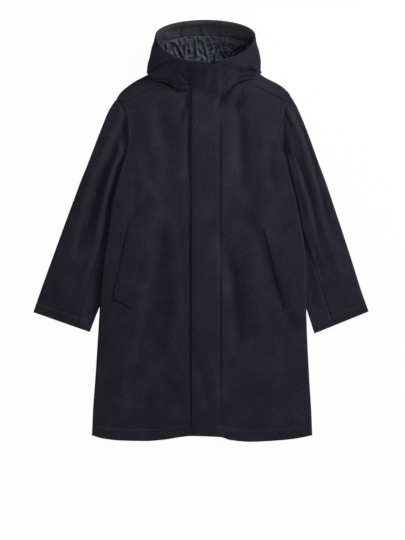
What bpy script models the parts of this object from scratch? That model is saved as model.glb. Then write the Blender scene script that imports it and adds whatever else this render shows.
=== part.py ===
"""A knee-length hooded coat of thick wool, laid flat on its back with the hood standing open.

X runs across the coat, +Y from the hem to the hood and +Z up from the surface that it lies on. "right" and
"left" are the wearer's, so the right side is at -X. Lengths are in millimetres until the meshes are made.
Each piece is a loft through short tables, made as an open sheet on the cloth's outer side, and a Solidify
modifier gives it its thickness inwards.
"""

import math
from collections import namedtuple

import bmesh
import bpy
from mathutils import Vector
from mathutils.bvhtree import BVHTree

MM = 0.001
OBJECT_NAME = "laid_out_hooded_coat"

# Cloth
WALL = 2.5  # thick wool melton
FACING_WALL = 2.0
LINING_WALL = 1.0
BAND = 4.0  # a doubled and pressed strip, such as the placket
WELT_BAND = 3.5
SEAM = 0.6  # between two sewn pieces
SLEEVE_SEAM = 1.0  # the seam turns sharply by the underarm
LAID_ON = 0.7  # under a strip that lies on a panel
WELT_LAID_ON = 1.2
FACING_GAP = 1.6
LINING_GAP = 3.8  # the lining hangs loose
WELD = 0.02

# Body
CENTRE_X = 27.0  # where the two fronts meet, under the placket
PLACKET_X = (-26.0, 0.0, 27.0, 53.0)
HEM_Y = -561.0
HEM_FADE = 140.0
NOTCH_Y = 220.0  # underarm, where sleeve and side meet
EDGE_RADIUS = 5.5  # across a folded side edge
NOTCH_RADIUS = 3.1
SIDE_WRAP = 10.0  # how far the front reaches round to the side seam
LIFT = 7.6  # the sides of the body lie on the sleeves
LIFT_REACH = 28.0
LIFT_RAMP = 36.0
LIFT_FROM_Y = -285.0  # by the cuffs' inner ends
LIFT_FROM_RAMP = 62.0
NOTCH_WRAP = 1.0
NOTCH_RAMP = 65.0  # below the notch the side edge changes over this length
FOLD_END = 0.3  # share of a fold's length over which it fades

Side = namedtuple("Side", "y right left")
SIDE = [
    Side(-561, -300, 306),
    Side(-490, -297, 303),
    Side(-410, -291, 298),
    Side(-270, -282, 291),
    Side(-200, -277.5, 289),
    Side(-115, -271, 289),
    Side(-70, -265.5, 288),
    Side(-25, -259, 282),
    Side(25, -252, 273),
    Side(90, -242, 260),
    Side(150, -227, 245),
    Side(205, -209, 233),
    Side(220, -204, 229.5),
]

Hem = namedtuple("Hem", "x y")
HEM = [
    Hem(-300, -561),
    Hem(-270, -570),
    Hem(-220, -575.5),
    Hem(-154, -577),
    Hem(-108, -574),
    Hem(-56, -566),
    Hem(-26, -563),
    Hem(53, -566),
    Hem(80, -574),
    Hem(135, -579),
    Hem(186, -577),
    Hem(255, -571),
    Hem(306, -561),
]

# The armhole seam on top, from the shoulder's tip down to the notch
Armhole = namedtuple("Armhole", "right_x right_y left_x left_y")
ARMHOLE = [
    Armhole(-233, 362, 246, 372),
    Armhole(-219, 349, 238, 353),
    Armhole(-210, 333, 229, 338),
    Armhole(-203, 313, 225, 320),
    Armhole(-197, 284, 223, 290),
    Armhole(-195.5, 251, 223, 258),
    Armhole(-198.5, 232, 225, 234),
    Armhole(-204, 221, 229.5, 221),
]

# The shoulder's outline and the forward shoulder seam, from the armhole to the neck
Shoulder = namedtuple("Shoulder", "right_x right_y left_x left_y")
SHOULDER = [
    Shoulder(-233, 362, 246, 372),
    Shoulder(-224, 377, 243, 377.5),
    Shoulder(-213.5, 388, 233.5, 388),
    Shoulder(-200, 399, 220, 399),
    Shoulder(-184, 410, 201, 410),
    Shoulder(-164, 421, 178.5, 421),
    Shoulder(-140, 433, 160, 434),
]
SHOULDER_SEAM = [
    Shoulder(-219, 349, 231, 355.5),
    Shoulder(-162, 383, 190, 377),
    Shoulder(-105, 418, 118, 410.6),
]

# Height of the body's top over its underside, at the sides and at the middle
Loft = namedtuple("Loft", "y side middle")
LOFT = [
    Loft(-561, 9.0, 11.5),
    Loft(-450, 11.0, 16.5),
    Loft(-200, 11.0, 19.5),
    Loft(100, 11.0, 20.5),
    Loft(190, 8.0, 20.5),
    Loft(220, 6.4, 20.5),
    Loft(245, 9.0, 21.0),
    Loft(290, 13.0, 21.5),
    Loft(330, 13.5, 23.0),
    Loft(375, 12.0, 29.0),
    Loft(394, 12.0, 28.0),
    Loft(418, 10.5, 24.5),
    Loft(437, 9.0, 21.0),
]

# Lines across the sleeve from its outer fold to its inner fold, from the armhole to the cuff. "seam" is
# how far along the line the sleeve's front seam runs, and "bow" how much of the armhole's curve is left.
Sleeve = namedtuple("Sleeve", "outer_x outer_y inner_x inner_y seam bow height")
RIGHT_SLEEVE = [
    Sleeve(-233, 362, -205.5, 221, 0.77, 1.0, 1.0),
    Sleeve(-252.5, 333, -212.7, 200, 0.79, 0.8, 1.0),
    Sleeve(-276, 278, -218.5, 182, 0.80, 0.45, 1.0),
    Sleeve(-297, 223, -208, 155, 0.82, 0.15, 1.0),
    Sleeve(-312, 183, -178, 112, 0.77, 0.0, 1.0),
    Sleeve(-329, 141, -161, 66, 0.64, 0.0, 1.0),
    Sleeve(-370, 31, -198, -41, 0.61, 0.0, 1.0),
    Sleeve(-410, -79, -244, -143, 0.65, 0.0, 1.0),
    Sleeve(-440, -162, -281, -214, 0.71, 0.0, 0.85),
    Sleeve(-461, -223, -305.5, -277.5, 0.763, 0.0, 0.62),
]
LEFT_SLEEVE = [
    Sleeve(246, 372, 231, 221, 0.77, 1.0, 1.0),
    Sleeve(262, 345, 236.5, 200, 0.79, 0.8, 1.0),
    Sleeve(289, 283, 240.5, 182, 0.80, 0.45, 1.0),
    Sleeve(311, 223, 229, 155, 0.82, 0.15, 1.0),
    Sleeve(325, 183, 200, 112, 0.78, 0.0, 1.0),
    Sleeve(341, 141, 185, 66, 0.64, 0.0, 1.0),
    Sleeve(378, 31, 222, -41, 0.595, 0.0, 1.0),
    Sleeve(414, -79, 259, -143, 0.61, 0.0, 1.0),
    Sleeve(440, -162, 289.5, -214, 0.64, 0.0, 0.85),
    Sleeve(461, -221, 311.5, -281.5, 0.647, 0.0, 0.62),
]
SLEEVE_EDGE_RADIUS = 6.0
FLAT_SLEEVE = 6.2  # height of the sleeve under the body's side
SLEEVE_LOFT = 16.0
SLEEVE_EDGE = 12.0
SLEEVE_RISE = 0.3  # share of the line over which the sleeve rises from its outer edge
FOLD_FADE = 0.2  # and over which its folds end before the inner edge
UNDER_SEAM = 0.25  # the sleeve's back seam, along the line on the underside
VALLEY = 30.0  # the sleeve rises over this width beside the body's edge
VALLEY_START = 12.0
VALLEY_LOW_Y = -300.0
VALLEY_LOW_RAMP = 70.0
VALLEY_TOP_RAMP = 45.0
FLAT_FROM = 0.9  # the sleeve's inner part is pressed flat

# The largest folds: a line of three places, the height (below zero for a trough) and the half width
Fold = namedtuple("Fold", "x1 y1 x2 y2 x3 y3 height width")
RIGHT_SLEEVE_FOLDS = [
    Fold(-228, 297, -283, 196, -333, 22, 3.0, 15),
    Fold(-242, 237, -300, 113, -341, -79, -3.0, 13),
    Fold(-214, 209, -245, 174, -283, 22, 2.5, 13),
    Fold(-234, 132, -256, 94, -269, 22, -2.0, 11),
]
LEFT_SLEEVE_FOLDS = [
    Fold(236, 319, 280, 251, 313, 113, 3.0, 15),
    Fold(277, 284, 308, 168, 343, -24, -2.5, 11),
    Fold(253, 182, 276, 110, 300, 44, 2.5, 12),
    Fold(267, 190, 294, 105, 322, -33, -2.5, 12),
]
BODY_FOLDS = [
    Fold(104, 333, 104, 240, 104, 141, -2.5, 24),
    Fold(184, 223, 184, 170, 184, 113, -2.0, 18),
    Fold(66, 72, 72, -110, 110, -313, -3.5, 26),
    Fold(-102, -74, -106, -178, -125, -294, -3.5, 26),
    Fold(-91, -294, -70, -230, -52, -162, 2.0, 22),
]

# Pocket welts: the corners of each slanted strip
Corner = namedtuple("Corner", "x y")
WELTS = {
    "right": (Corner(-196.6, 25), Corner(-147.4, -1), Corner(-243, -186), Corner(-191, -212)),
    "left": (Corner(171.6, 9), Corner(222, 30), Corner(228.5, -214), Corner(276, -186)),
}

# Rings round the hood's opening, from the neck seam to the rim
Ring = namedtuple("Ring", "centre half_width front side back power front_z side_z back_z drop")
RINGS = [
    Ring(12, 149, 375, 439, 424, 2.3, 29, 6, 0, 3.0),
    Ring(8, 157, 385, 435, 458, 2.3, 36, 22, 0, 1.5),
    Ring(9, 155, 408, 454, 500, 1.6, 48, 38, 3, 1.0),
    Ring(11, 149, 432, 487, 540, 1.2, 60, 52, 20, 1.0),
    Ring(11, 140.5, 449, 518, 562, 1.05, 71, 64, 36, 1.0),
    Ring(12, 136, 460, 537, 579, 1.0, 79, 73, 52, 1.0),
]
ROLL = 6.0  # the hood bulges over the neck seam beside the placket
ROLL_ANGLE = math.radians(28)
ROLL_WIDTH = math.radians(13)
NECK_FOLD = (math.radians(62), math.radians(28))  # the neck seam leaves the fronts here, over this angle
GUSSET_ANGLE = math.radians(21.5)  # half of the hood's centre panel, from the middle of the back
FACING_FROM = 2.89  # the facing goes from here to the rim, and the lining ends just below it
LINING_FROM = 1.3
LINING_TO = 2.74
FACING_SEAMS = (math.radians(27.5), math.radians(16.0))
LINING_SEAMS = (math.radians(17.6), math.radians(20.4))

WOOL = (0.018, 0.018, 0.027)
WOOL_DARK = (0.015, 0.015, 0.022)
SATIN = (0.040, 0.043, 0.058)


def smooth(keys, values, at):
    """A smooth curve through values, with no overshoot, read at one place."""
    if at <= keys[0]:
        return values[0]
    if at >= keys[-1]:
        return values[-1]
    i = max(k for k in range(len(keys) - 1) if keys[k] <= at)
    slopes = [(values[k + 1] - values[k]) / (keys[k + 1] - keys[k]) for k in range(len(keys) - 1)]

    def tangent(k):
        if k == 0:
            return slopes[0]
        if k == len(keys) - 1:
            return slopes[-1]
        if slopes[k - 1] * slopes[k] <= 0:
            return 0.0
        return 2 * slopes[k - 1] * slopes[k] / (slopes[k - 1] + slopes[k])

    step = keys[i + 1] - keys[i]
    t = (at - keys[i]) / step
    return (
        values[i] * (2 * t**3 - 3 * t**2 + 1)
        + tangent(i) * step * (t**3 - 2 * t**2 + t)
        + values[i + 1] * (3 * t**2 - 2 * t**3)
        + tangent(i + 1) * step * (t**3 - t**2)
    )


def read(rows, key, column, at):
    """A table's column, read where its key column has the value at."""
    return smooth([getattr(r, key) for r in rows], [getattr(r, column) for r in rows], at)


def place(rows, side, t):
    """A point along a table of places, t from 0 to 1."""
    at = t * (len(rows) - 1)
    keys = list(range(len(rows)))
    x = smooth(keys, [getattr(r, side + "_x") for r in rows], at)
    y = smooth(keys, [getattr(r, side + "_y") for r in rows], at)
    return x, y


def mix(a, b, t):
    return a + (b - a) * t


def ease(t):
    """0 below 0, 1 above 1, and smooth between them."""
    t = min(max(t, 0.0), 1.0)
    return t * t * (3 - 2 * t)


def sign(side):
    return -1 if side == "right" else 1


def fold_height(folds, x, y):
    """What the folds add to the height at a place."""
    total = 0.0
    for f in folds:
        points = [(f.x1, f.y1), (f.x2, f.y2), (f.x3, f.y3)]
        best = (1e9, 0.0)
        for n, (a, b) in enumerate(zip(points, points[1:])):
            dx, dy = b[0] - a[0], b[1] - a[1]
            t = ((x - a[0]) * dx + (y - a[1]) * dy) / (dx * dx + dy * dy)
            t = min(max(t, 0.0), 1.0)
            away = math.hypot(x - a[0] - t * dx, y - a[1] - t * dy)
            best = min(best, (away, (n + t) / 2))
        taper = ease(best[1] / FOLD_END) * ease((1 - best[1]) / FOLD_END)
        total += f.height * math.exp(-((best[0] / f.width) ** 2)) * taper
    return total


# ---- body ------------------------------------------------------------------------------------------


def outline_x(side, y):
    """The body's own outline, without the sleeve."""
    if y <= NOTCH_Y:
        return read(SIDE, "y", side, y)
    rows = ARMHOLE[::-1] if y <= getattr(ARMHOLE[0], side + "_y") else SHOULDER
    return smooth([getattr(r, side + "_y") for r in rows], [getattr(r, side + "_x") for r in rows], y)


def sleeve_rows(side):
    return RIGHT_SLEEVE if side == "right" else LEFT_SLEEVE


def lift(side, x, y):
    """How high the body's underside lies, where a sleeve lies under it."""
    rows = sleeve_rows(side)[:1:-1]
    fold_x = smooth([r.inner_y for r in rows], [r.inner_x for r in rows], y)
    inside = (fold_x - x) * sign(side)
    across = ease(1 - (inside - LIFT_REACH) / LIFT_RAMP)
    along = ease((NOTCH_Y - 2 - y) / LIFT_RAMP) * ease((y - LIFT_FROM_Y) / LIFT_FROM_RAMP)
    return LIFT * across * along


def underside(x, y):
    return lift("right", x, y) if x < CENTRE_X else lift("left", x, y)


def front_height(side, x, y):
    """The height of the body's top side."""
    u = (x - CENTRE_X) / (outline_x(side, y) - CENTRE_X)
    u = min(max(u, 0.0), 1.0)
    edge = read(LOFT, "y", "side", y)
    middle = read(LOFT, "y", "middle", y)
    height = edge + (middle - edge) * (1 - u**3)
    return lift(side, x, y) + height + fold_height(BODY_FOLDS, x, y)


def near_notch(y):
    return ease(1 - (NOTCH_Y - y) / NOTCH_RAMP)


def edge_radius(y):
    return mix(EDGE_RADIUS, NOTCH_RADIUS, near_notch(y))


def wrap(y):
    return mix(SIDE_WRAP, NOTCH_WRAP, near_notch(y))


def hem_y(x, y):
    """Rows near the hem follow its sagging edge."""
    return y + (read(HEM, "x", "y", x) - HEM_Y) * ease(1 - (y - HEM_Y) / HEM_FADE)


def crest_x(side, y):
    return outline_x(side, y) - sign(side) * edge_radius(y)


def neck_y(x):
    """The neck seam on top, which the hood's first ring gives."""
    ring = RINGS[0]
    across = (x - ring.centre) / ring.half_width
    return ring.side - (ring.side - ring.front) * (1 - across * across) ** (ring.power / 2)


BODY_ROWS = [-561, -530, -470, -390, -300, -225, -165, -100, -35, 35, 95, 140, 175, 200, 218]
UPPER_ROWS = [0.24, 0.48, 0.7, 0.86, 0.95, 1.0]
FRONT_COLUMNS = 9
NECK_COLUMN = 5  # the column that ends where the shoulder seam meets the neck


def front_points(side):
    """Rows from the hem to the neck and shoulder, each from the centre to the side.

    The first columns lie under the placket and the others share the way from its edge to the side.
    """
    if side == "right":
        fixed, inner = [CENTRE_X, 0.0], PLACKET_X[0]
    else:
        fixed, inner = [CENTRE_X + SEAM], PLACKET_X[-1]
    shares = [k / (FRONT_COLUMNS - 1) for k in range(FRONT_COLUMNS)]
    neck_x, _ = place(SHOULDER_SEAM, side, 1.0)
    rows = []
    for y in BODY_ROWS:
        side_x = crest_x(side, y)
        xs = fixed + [mix(inner, side_x, s) for s in shares]
        rows.append([(x, hem_y(x, y)) for x in xs])
    top = [(x, neck_y(x)) for x in fixed]
    for k in range(FRONT_COLUMNS):
        if k <= NECK_COLUMN:
            x = mix(inner, neck_x, k / NECK_COLUMN)
            top.append((x, neck_y(x)))
        else:
            along = (k - NECK_COLUMN) / (FRONT_COLUMNS - 1 - NECK_COLUMN)
            top.append(place(SHOULDER_SEAM, side, 1 - along))
    notch = rows[-1]
    first = len(fixed)
    end_t = 1 / (len(ARMHOLE) - 1)
    for part in UPPER_ROWS:
        edge = place(ARMHOLE, side, mix(1.0, end_t, part))
        straight = (mix(notch[-1][0], top[-1][0], part), mix(notch[-1][1], top[-1][1], part))
        row = []
        for c, (a, b) in enumerate(zip(notch, top)):
            share = max(0.0, (c - first) / (FRONT_COLUMNS - 1))
            pull = share * share * (1 if part < 1 else 0)
            x = mix(a[0], b[0], part) + pull * (edge[0] - straight[0])
            y = mix(a[1], b[1], part) + pull * (edge[1] - straight[1])
            row.append((x, y))
        rows.append(row)
    return [[(x, y, front_height(side, x, y)) for x, y in row] for row in rows]


def side_wrap(side):
    """The front goes round the folded side to the side seam on the underside."""
    angles = [90, 45, 0, -45, -90]
    rows = []
    for y in BODY_ROWS:
        crest = crest_x(side, y)
        top = front_height(side, crest, hem_y(crest, y))
        low = lift(side, crest, y)
        radius = edge_radius(y)
        row = []
        for angle in angles:
            a = math.radians(angle)
            x = crest + sign(side) * radius * math.cos(a)
            row.append((x, hem_y(crest, y), (top + low) / 2 + (top - low) / 2 * math.sin(a)))
        seam = crest - sign(side) * wrap(y)
        row.append((seam, hem_y(crest, y), lift(side, seam, y)))
        rows.append(row)
    return rows


SHOULDER_COLUMNS = 5
NECK_COLUMNS = 6
BACK_COLUMNS = 2 * SHOULDER_COLUMNS + NECK_COLUMNS
BACK_SHORTER = 3.0
BACK_NECK_DROP = 5.0
BACK_ARMHOLE_END = 0.04


def shoulder_line(side, q):
    """At q from the armhole to the neck: the fold's outermost point, the way in and the seam."""
    outer = Vector(place(SHOULDER, side, q))
    seam = Vector(place(SHOULDER_SEAM, side, q))
    way = (seam - outer).normalized()
    return outer, way, seam


def back_top():
    """The back's upper edge on the underside, from the right armhole over the neck to the left one."""
    points = []
    for k in range(SHOULDER_COLUMNS + 1):
        outer, way, _ = shoulder_line("right", k / SHOULDER_COLUMNS)
        points.append(outer + way * EDGE_RADIUS)
    left = []
    for k in range(SHOULDER_COLUMNS + 1):
        outer, way, _ = shoulder_line("left", k / SHOULDER_COLUMNS)
        left.append(outer + way * EDGE_RADIUS)
    start, end = points[-1], left[-1]
    ring = RINGS[0]
    for k in range(1, NECK_COLUMNS):
        x = mix(start.x, end.x, k / NECK_COLUMNS)
        across = (x - ring.centre) / ring.half_width
        y = ring.side + (ring.back - ring.side) * math.sqrt(1 - across * across) - BACK_NECK_DROP
        points.append(Vector((x, min(y, mix(start.y, end.y, k / NECK_COLUMNS)))))
    return points + left[::-1]


def back_points():
    """Rows of points on the back's underside, from the right to the left."""
    rows = []
    for y in BODY_ROWS:
        ends = []
        for side in ("right", "left"):
            inset = wrap(y) + SEAM
            ends.append(crest_x(side, y) - sign(side) * inset)
        at = max(y, HEM_Y + BACK_SHORTER)
        rows.append([(mix(*ends, k / BACK_COLUMNS), at) for k in range(BACK_COLUMNS + 1)])
    notch = rows[-1]
    top = back_top()
    for part in UPPER_ROWS:
        row = []
        edges = {}
        for side, end in (("right", 0), ("left", -1)):
            edge = place(ARMHOLE, side, mix(1.0, BACK_ARMHOLE_END, part))
            straight = (mix(notch[end][0], top[end].x, part), mix(notch[end][1], top[end].y, part))
            edges[side] = (edge[0] - straight[0], edge[1] - straight[1])
        for c, (a, b) in enumerate(zip(notch, top)):
            share = c / BACK_COLUMNS
            x = mix(a[0], b[0], part)
            y = mix(a[1], b[1], part)
            if part < 1:
                x += edges["right"][0] * (1 - share) ** 3 + edges["left"][0] * share**3
                y += edges["right"][1] * (1 - share) ** 3 + edges["left"][1] * share**3
            row.append((x, y))
        rows.append(row)
    return [[(x, y, underside(x, y)) for x, y in row] for row in rows]


def shoulder_strip(side):
    """The back goes over the shoulder's fold to the forward shoulder seam."""
    rows = []
    for k in range(SHOULDER_COLUMNS + 1):
        outer, way, seam = shoulder_line(side, k / SHOULDER_COLUMNS)
        crest = outer + way * EDGE_RADIUS
        top = front_height(side, crest.x, crest.y)
        row = []
        for angle in (-90, -45, 0, 45, 90):
            a = math.radians(angle)
            p = crest - way * EDGE_RADIUS * math.cos(a)
            row.append((p.x, p.y, top / 2 + top / 2 * math.sin(a)))
        near = seam - way * SEAM
        for share in (0.5, 1.0):
            p = crest.lerp(near, share)
            row.append((p.x, p.y, front_height(side, p.x, p.y)))
        rows.append(row)
    return rows


# ---- sleeves ---------------------------------------------------------------------------------------


def sleeve_line(side, k):
    """The outer and inner ends of a line across the sleeve, and its other columns."""
    rows = sleeve_rows(side)
    keys = list(range(len(rows)))
    values = [smooth(keys, [r[c] for r in rows], k) for c in range(7)]
    return Sleeve(*values)


def sleeve_place(side, k, s):
    """A place on the sleeve in the plane, s from 0 at the outer fold to 1 at the inner one."""
    line = sleeve_line(side, k)
    first = sleeve_rows(side)[0]
    seam_x, seam_y = place(ARMHOLE, side, s)
    bow_x = (seam_x - mix(first.outer_x, first.inner_x, s)) * line.bow
    bow_y = (seam_y - mix(first.outer_y, first.inner_y, s)) * line.bow
    return Vector((mix(line.outer_x, line.inner_x, s) + bow_x, mix(line.outer_y, line.inner_y, s) + bow_y))


def sleeve_height(side, k, s, x, y):
    """The height of the sleeve's top side."""
    share = 1 - min(s / FLAT_FROM, 1.0) ** 4
    crown = mix(SLEEVE_EDGE, SLEEVE_LOFT, ease(s / SLEEVE_RISE))
    own = mix(FLAT_SLEEVE, crown, share) * mix(1.0, sleeve_line(side, k).height, share)
    folds = RIGHT_SLEEVE_FOLDS if side == "right" else LEFT_SLEEVE_FOLDS
    own += fold_height(folds, x, y) * ease((1 - s) / FOLD_FADE)
    beside = (x - outline_x(side, min(y, NOTCH_Y))) * sign(side)
    low = 1 - ease((beside - VALLEY_START) / VALLEY)
    low *= ease((y - VALLEY_LOW_Y) / VALLEY_LOW_RAMP)
    low *= ease((NOTCH_Y - y) / VALLEY_TOP_RAMP + 1)
    own = mix(own, FLAT_SLEEVE, low)
    at_armhole = read(LOFT, "y", "side", place(ARMHOLE, side, s)[1])
    return mix(at_armhole, own, ease(k / 2))


SLEEVE_STATIONS = [0.08, 0.7, 1.4, 2, 2.6, 3.3, 4, 5, 6, 7, 8, 9]


def body_edge_share(side, k):
    """Where the line across the sleeve comes close to the body's edge."""
    for n in range(20, 90):
        p = sleeve_place(side, k, n / 100)
        if (p.x - outline_x(side, min(p.y, NOTCH_Y))) * sign(side) < VALLEY_START - 2:
            return n / 100
    return 0.9


def sleeve_points(side, name):
    """Rows from the cuff to the armhole, each round a part of the tube."""
    rows = []
    for k in reversed(SLEEVE_STATIONS):
        line = sleeve_line(side, k)
        length = (sleeve_place(side, k, 0) - sleeve_place(side, k, 1)).length
        start = SLEEVE_EDGE_RADIUS / length
        stop = 1 - NOTCH_RADIUS / length
        gap = SLEEVE_SEAM / 2 / length
        edge = body_edge_share(side, k)
        row = []

        def top(s):
            p = sleeve_place(side, k, s)
            row.append((p.x, p.y, sleeve_height(side, k, s, p.x, p.y)))

        def low(s):
            p = sleeve_place(side, k, s)
            row.append((p.x, p.y, 0.0))

        def turn(s, end, radius, angles):
            crest = sleeve_place(side, k, s)
            out = (sleeve_place(side, k, end) - crest).normalized()
            height = sleeve_height(side, k, s, crest.x, crest.y)
            for angle in angles:
                a = math.radians(angle)
                p = crest + out * radius * math.cos(a)
                row.append((p.x, p.y, height / 2 + height / 2 * math.sin(a)))

        if name == "top":
            for share in (0.0, 0.5, 1.0):
                low(mix(UNDER_SEAM - gap, start, share))
            turn(start, 0.0, SLEEVE_EDGE_RADIUS, (-45, 0, 45))
            last = line.seam - gap
            crossing = min(edge, last - 0.06)
            for n in range(6):
                top(mix(start, crossing, n / 5))
            top(mix(crossing, last, 0.5))
            top(last)
        else:
            seam = line.seam + gap
            crossing = max(edge, mix(seam, stop, 0.3))
            top(seam)
            top(crossing)
            top(mix(crossing, stop, 0.5))
            top(stop)
            turn(stop, 1.0, NOTCH_RADIUS, (45, 0, -45))
            for n in range(10):
                low(mix(stop, UNDER_SEAM + gap, n / 9))
        rows.append(row if side == "right" else row[::-1])
    return rows


# ---- hood ------------------------------------------------------------------------------------------


def ring_point(ring, theta):
    """A point on a ring: theta is 0 at the chin and grows towards +X."""
    front = max(math.cos(theta), 0.0)
    back = max(-math.cos(theta), 0.0)
    x = ring.centre + ring.half_width * math.sin(theta)
    y = ring.side - (ring.side - ring.front) * front**ring.power + (ring.back - ring.side) * back
    if front > 0:
        z = ring.side_z + (ring.front_z - ring.side_z) * front
    else:
        z = ring.back_z + (ring.side_z - ring.back_z) * (1 - back) ** ring.drop
    return x, y, z


def hood_point(w, theta):
    """A point on the hood's outer side, w from 0 at the neck seam to 5 at the rim."""
    rings = [ring_point(r, theta) for r in RINGS]
    x, y, z = rings[0]
    if math.cos(theta) > 0:
        side = "right" if x < CENTRE_X else "left"
        at_fold = ease((abs(theta) - NECK_FOLD[0]) / NECK_FOLD[1])
        z = mix(front_height(side, x, y), RINGS[0].side_z, at_fold)
        rings[0] = (x, y, z + SEAM)
    x, y, z = rings[1]
    bulge = ROLL * math.exp(-(((abs(theta) - ROLL_ANGLE) / ROLL_WIDTH) ** 2))
    rings[1] = (x, y - bulge, z)
    keys = list(range(len(rings)))
    p = Vector([smooth(keys, [r[c] for r in rings], w) for c in range(3)])
    p.y += SEAM * (1 - min(w, 1))
    p.z = max(p.z, 0.0)
    return p


def angle_at(w, x):
    """The angle at which the hood's front passes under a given x."""
    keys = list(range(len(RINGS)))
    centre = smooth(keys, [r.centre for r in RINGS], w)
    half_width = smooth(keys, [r.half_width for r in RINGS], w)
    return math.asin((x - centre) / half_width)


def hood_inside(w, theta, depth):
    """A point moved in from the hood's outer side."""
    step = 0.01
    p = hood_point(w, theta)
    low, high = max(w - step, 0), min(w + step, 5)
    round_it = hood_point(w, theta + step) - hood_point(w, theta - step)
    up_it = hood_point(high, theta) - hood_point(low, theta)
    return p - round_it.cross(up_it).normalized() * depth


HOOD_LEVELS = [0, 0.6, 1.2, 2, 2.8, 3.5, 4.2, 5]
HOOD_COLUMNS = 11
GUSSET_COLUMNS = 4
HOOD_GAP = SEAM / 2 / RINGS[-1].half_width  # as an angle


def shares(count):
    return [n / count for n in range(count + 1)]


def hood_points(piece, levels, depth, seams):
    """Rows round a hood piece: right side, centre or left side. seams are its angles from the back."""
    right_seam = -math.pi + seams[0]
    left_seam = math.pi - seams[1]
    rows = []
    for w in levels:
        if piece == "right":
            start, end = right_seam + HOOD_GAP, angle_at(w, PLACKET_X[0])
            angles = [mix(start, end, n) for n in shares(HOOD_COLUMNS)]
            angles += [angle_at(w, PLACKET_X[1]), angle_at(w, CENTRE_X)]
        elif piece == "left":
            start, end = angle_at(w, PLACKET_X[-1]), left_seam - HOOD_GAP
            angles = [angle_at(w, CENTRE_X + SEAM)]
            angles += [mix(start, end, n) for n in shares(HOOD_COLUMNS)]
        else:
            start, end = left_seam + HOOD_GAP, 2 * math.pi + right_seam - HOOD_GAP
            angles = [mix(start, end, n) for n in shares(GUSSET_COLUMNS)]
        rows.append([tuple(hood_inside(w, a, depth)) for a in angles])
    return rows


# ---- strips that lie on the panels ------------------------------------------------------------------

WELT_ROWS = 10


def moved_out(rows, distance):
    """Each point of a grid moved along the surface's own direction."""
    moved = []
    for i, row in enumerate(rows):
        new = []
        for j, p in enumerate(row):
            a = Vector(rows[min(i + 1, len(rows) - 1)][j]) - Vector(rows[max(i - 1, 0)][j])
            b = Vector(row[min(j + 1, len(row) - 1)]) - Vector(row[max(j - 1, 0)])
            new.append(tuple(Vector(p) + b.cross(a).normalized() * distance))
        moved.append(new)
    return moved


def placket_points():
    """The placket covers both fronts' edges and goes up the hood's front to its rim."""
    rows = []
    fronts = {side: front_points(side) for side in ("right", "left")}
    for right, left in zip(fronts["right"][:-1], fronts["left"][:-1]):
        rows.append([right[2], right[1], right[0], left[1]])
    for w in HOOD_LEVELS[1:]:
        rows.append([tuple(hood_point(w, angle_at(w, x))) for x in PLACKET_X])
    return moved_out(rows, LAID_ON + BAND)


def on_front(side):
    """Gives the height of a front's own facets at a place."""
    rows = front_points(side)
    points = [Vector(p) for row in rows for p in row]
    width = len(rows[0])
    faces = []
    for i in range(len(rows) - 1):
        for j in range(width - 1):
            at = i * width + j
            faces.append((at, at + 1, at + width + 1, at + width))
    tree = BVHTree.FromPolygons(points, faces)

    def height(x, y):
        return tree.ray_cast(Vector((x, y, 1000)), Vector((0, 0, -1)))[0].z

    return height


def welt_points(side):
    """A pocket welt lies on its front."""
    top_low, top_high, bottom_low, bottom_high = [Vector(c) for c in WELTS[side]]
    height = on_front(side)
    rows = []
    for n in range(WELT_ROWS + 1):
        a = bottom_low.lerp(top_low, n / WELT_ROWS)
        b = bottom_high.lerp(top_high, n / WELT_ROWS)
        row = []
        for m in range(4):
            p = a.lerp(b, m / 3)
            row.append((p.x, p.y, height(p.x, p.y)))
        rows.append(row)
    return moved_out(rows, WELT_LAID_ON + WELT_BAND)


# ---- meshes ----------------------------------------------------------------------------------------


def material(name, colour, roughness):
    made = bpy.data.materials.new(name)
    made.use_nodes = True
    shader = made.node_tree.nodes["Principled BSDF"]
    shader.inputs["Base Color"].default_value = (*colour, 1)
    shader.inputs["Roughness"].default_value = roughness
    shader.inputs["Metallic"].default_value = 0.0
    return made


def sheet(name, patches, thickness, look, collection):
    """One sewn piece: its patches joined along shared points, then thickened inwards."""
    bm = bmesh.new()
    for rows in patches:
        grid = [[bm.verts.new([c * MM for c in p]) for p in row] for row in rows]
        for i in range(len(grid) - 1):
            for j in range(len(grid[i]) - 1):
                bm.faces.new((grid[i][j], grid[i][j + 1], grid[i + 1][j + 1], grid[i + 1][j]))
    bmesh.ops.remove_doubles(bm, verts=bm.verts, dist=WELD * MM)
    mesh = bpy.data.meshes.new(name)
    bm.to_mesh(mesh)
    bm.free()
    mesh.materials.append(look)
    mesh.shade_smooth()
    piece = bpy.data.objects.new(name, mesh)
    collection.objects.link(piece)
    solid = piece.modifiers.new("cloth", "SOLIDIFY")
    solid.thickness = thickness * MM
    solid.offset = -1
    solid.use_even_offset = False  # an even wall would spike at the sharp turns
    return piece


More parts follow.
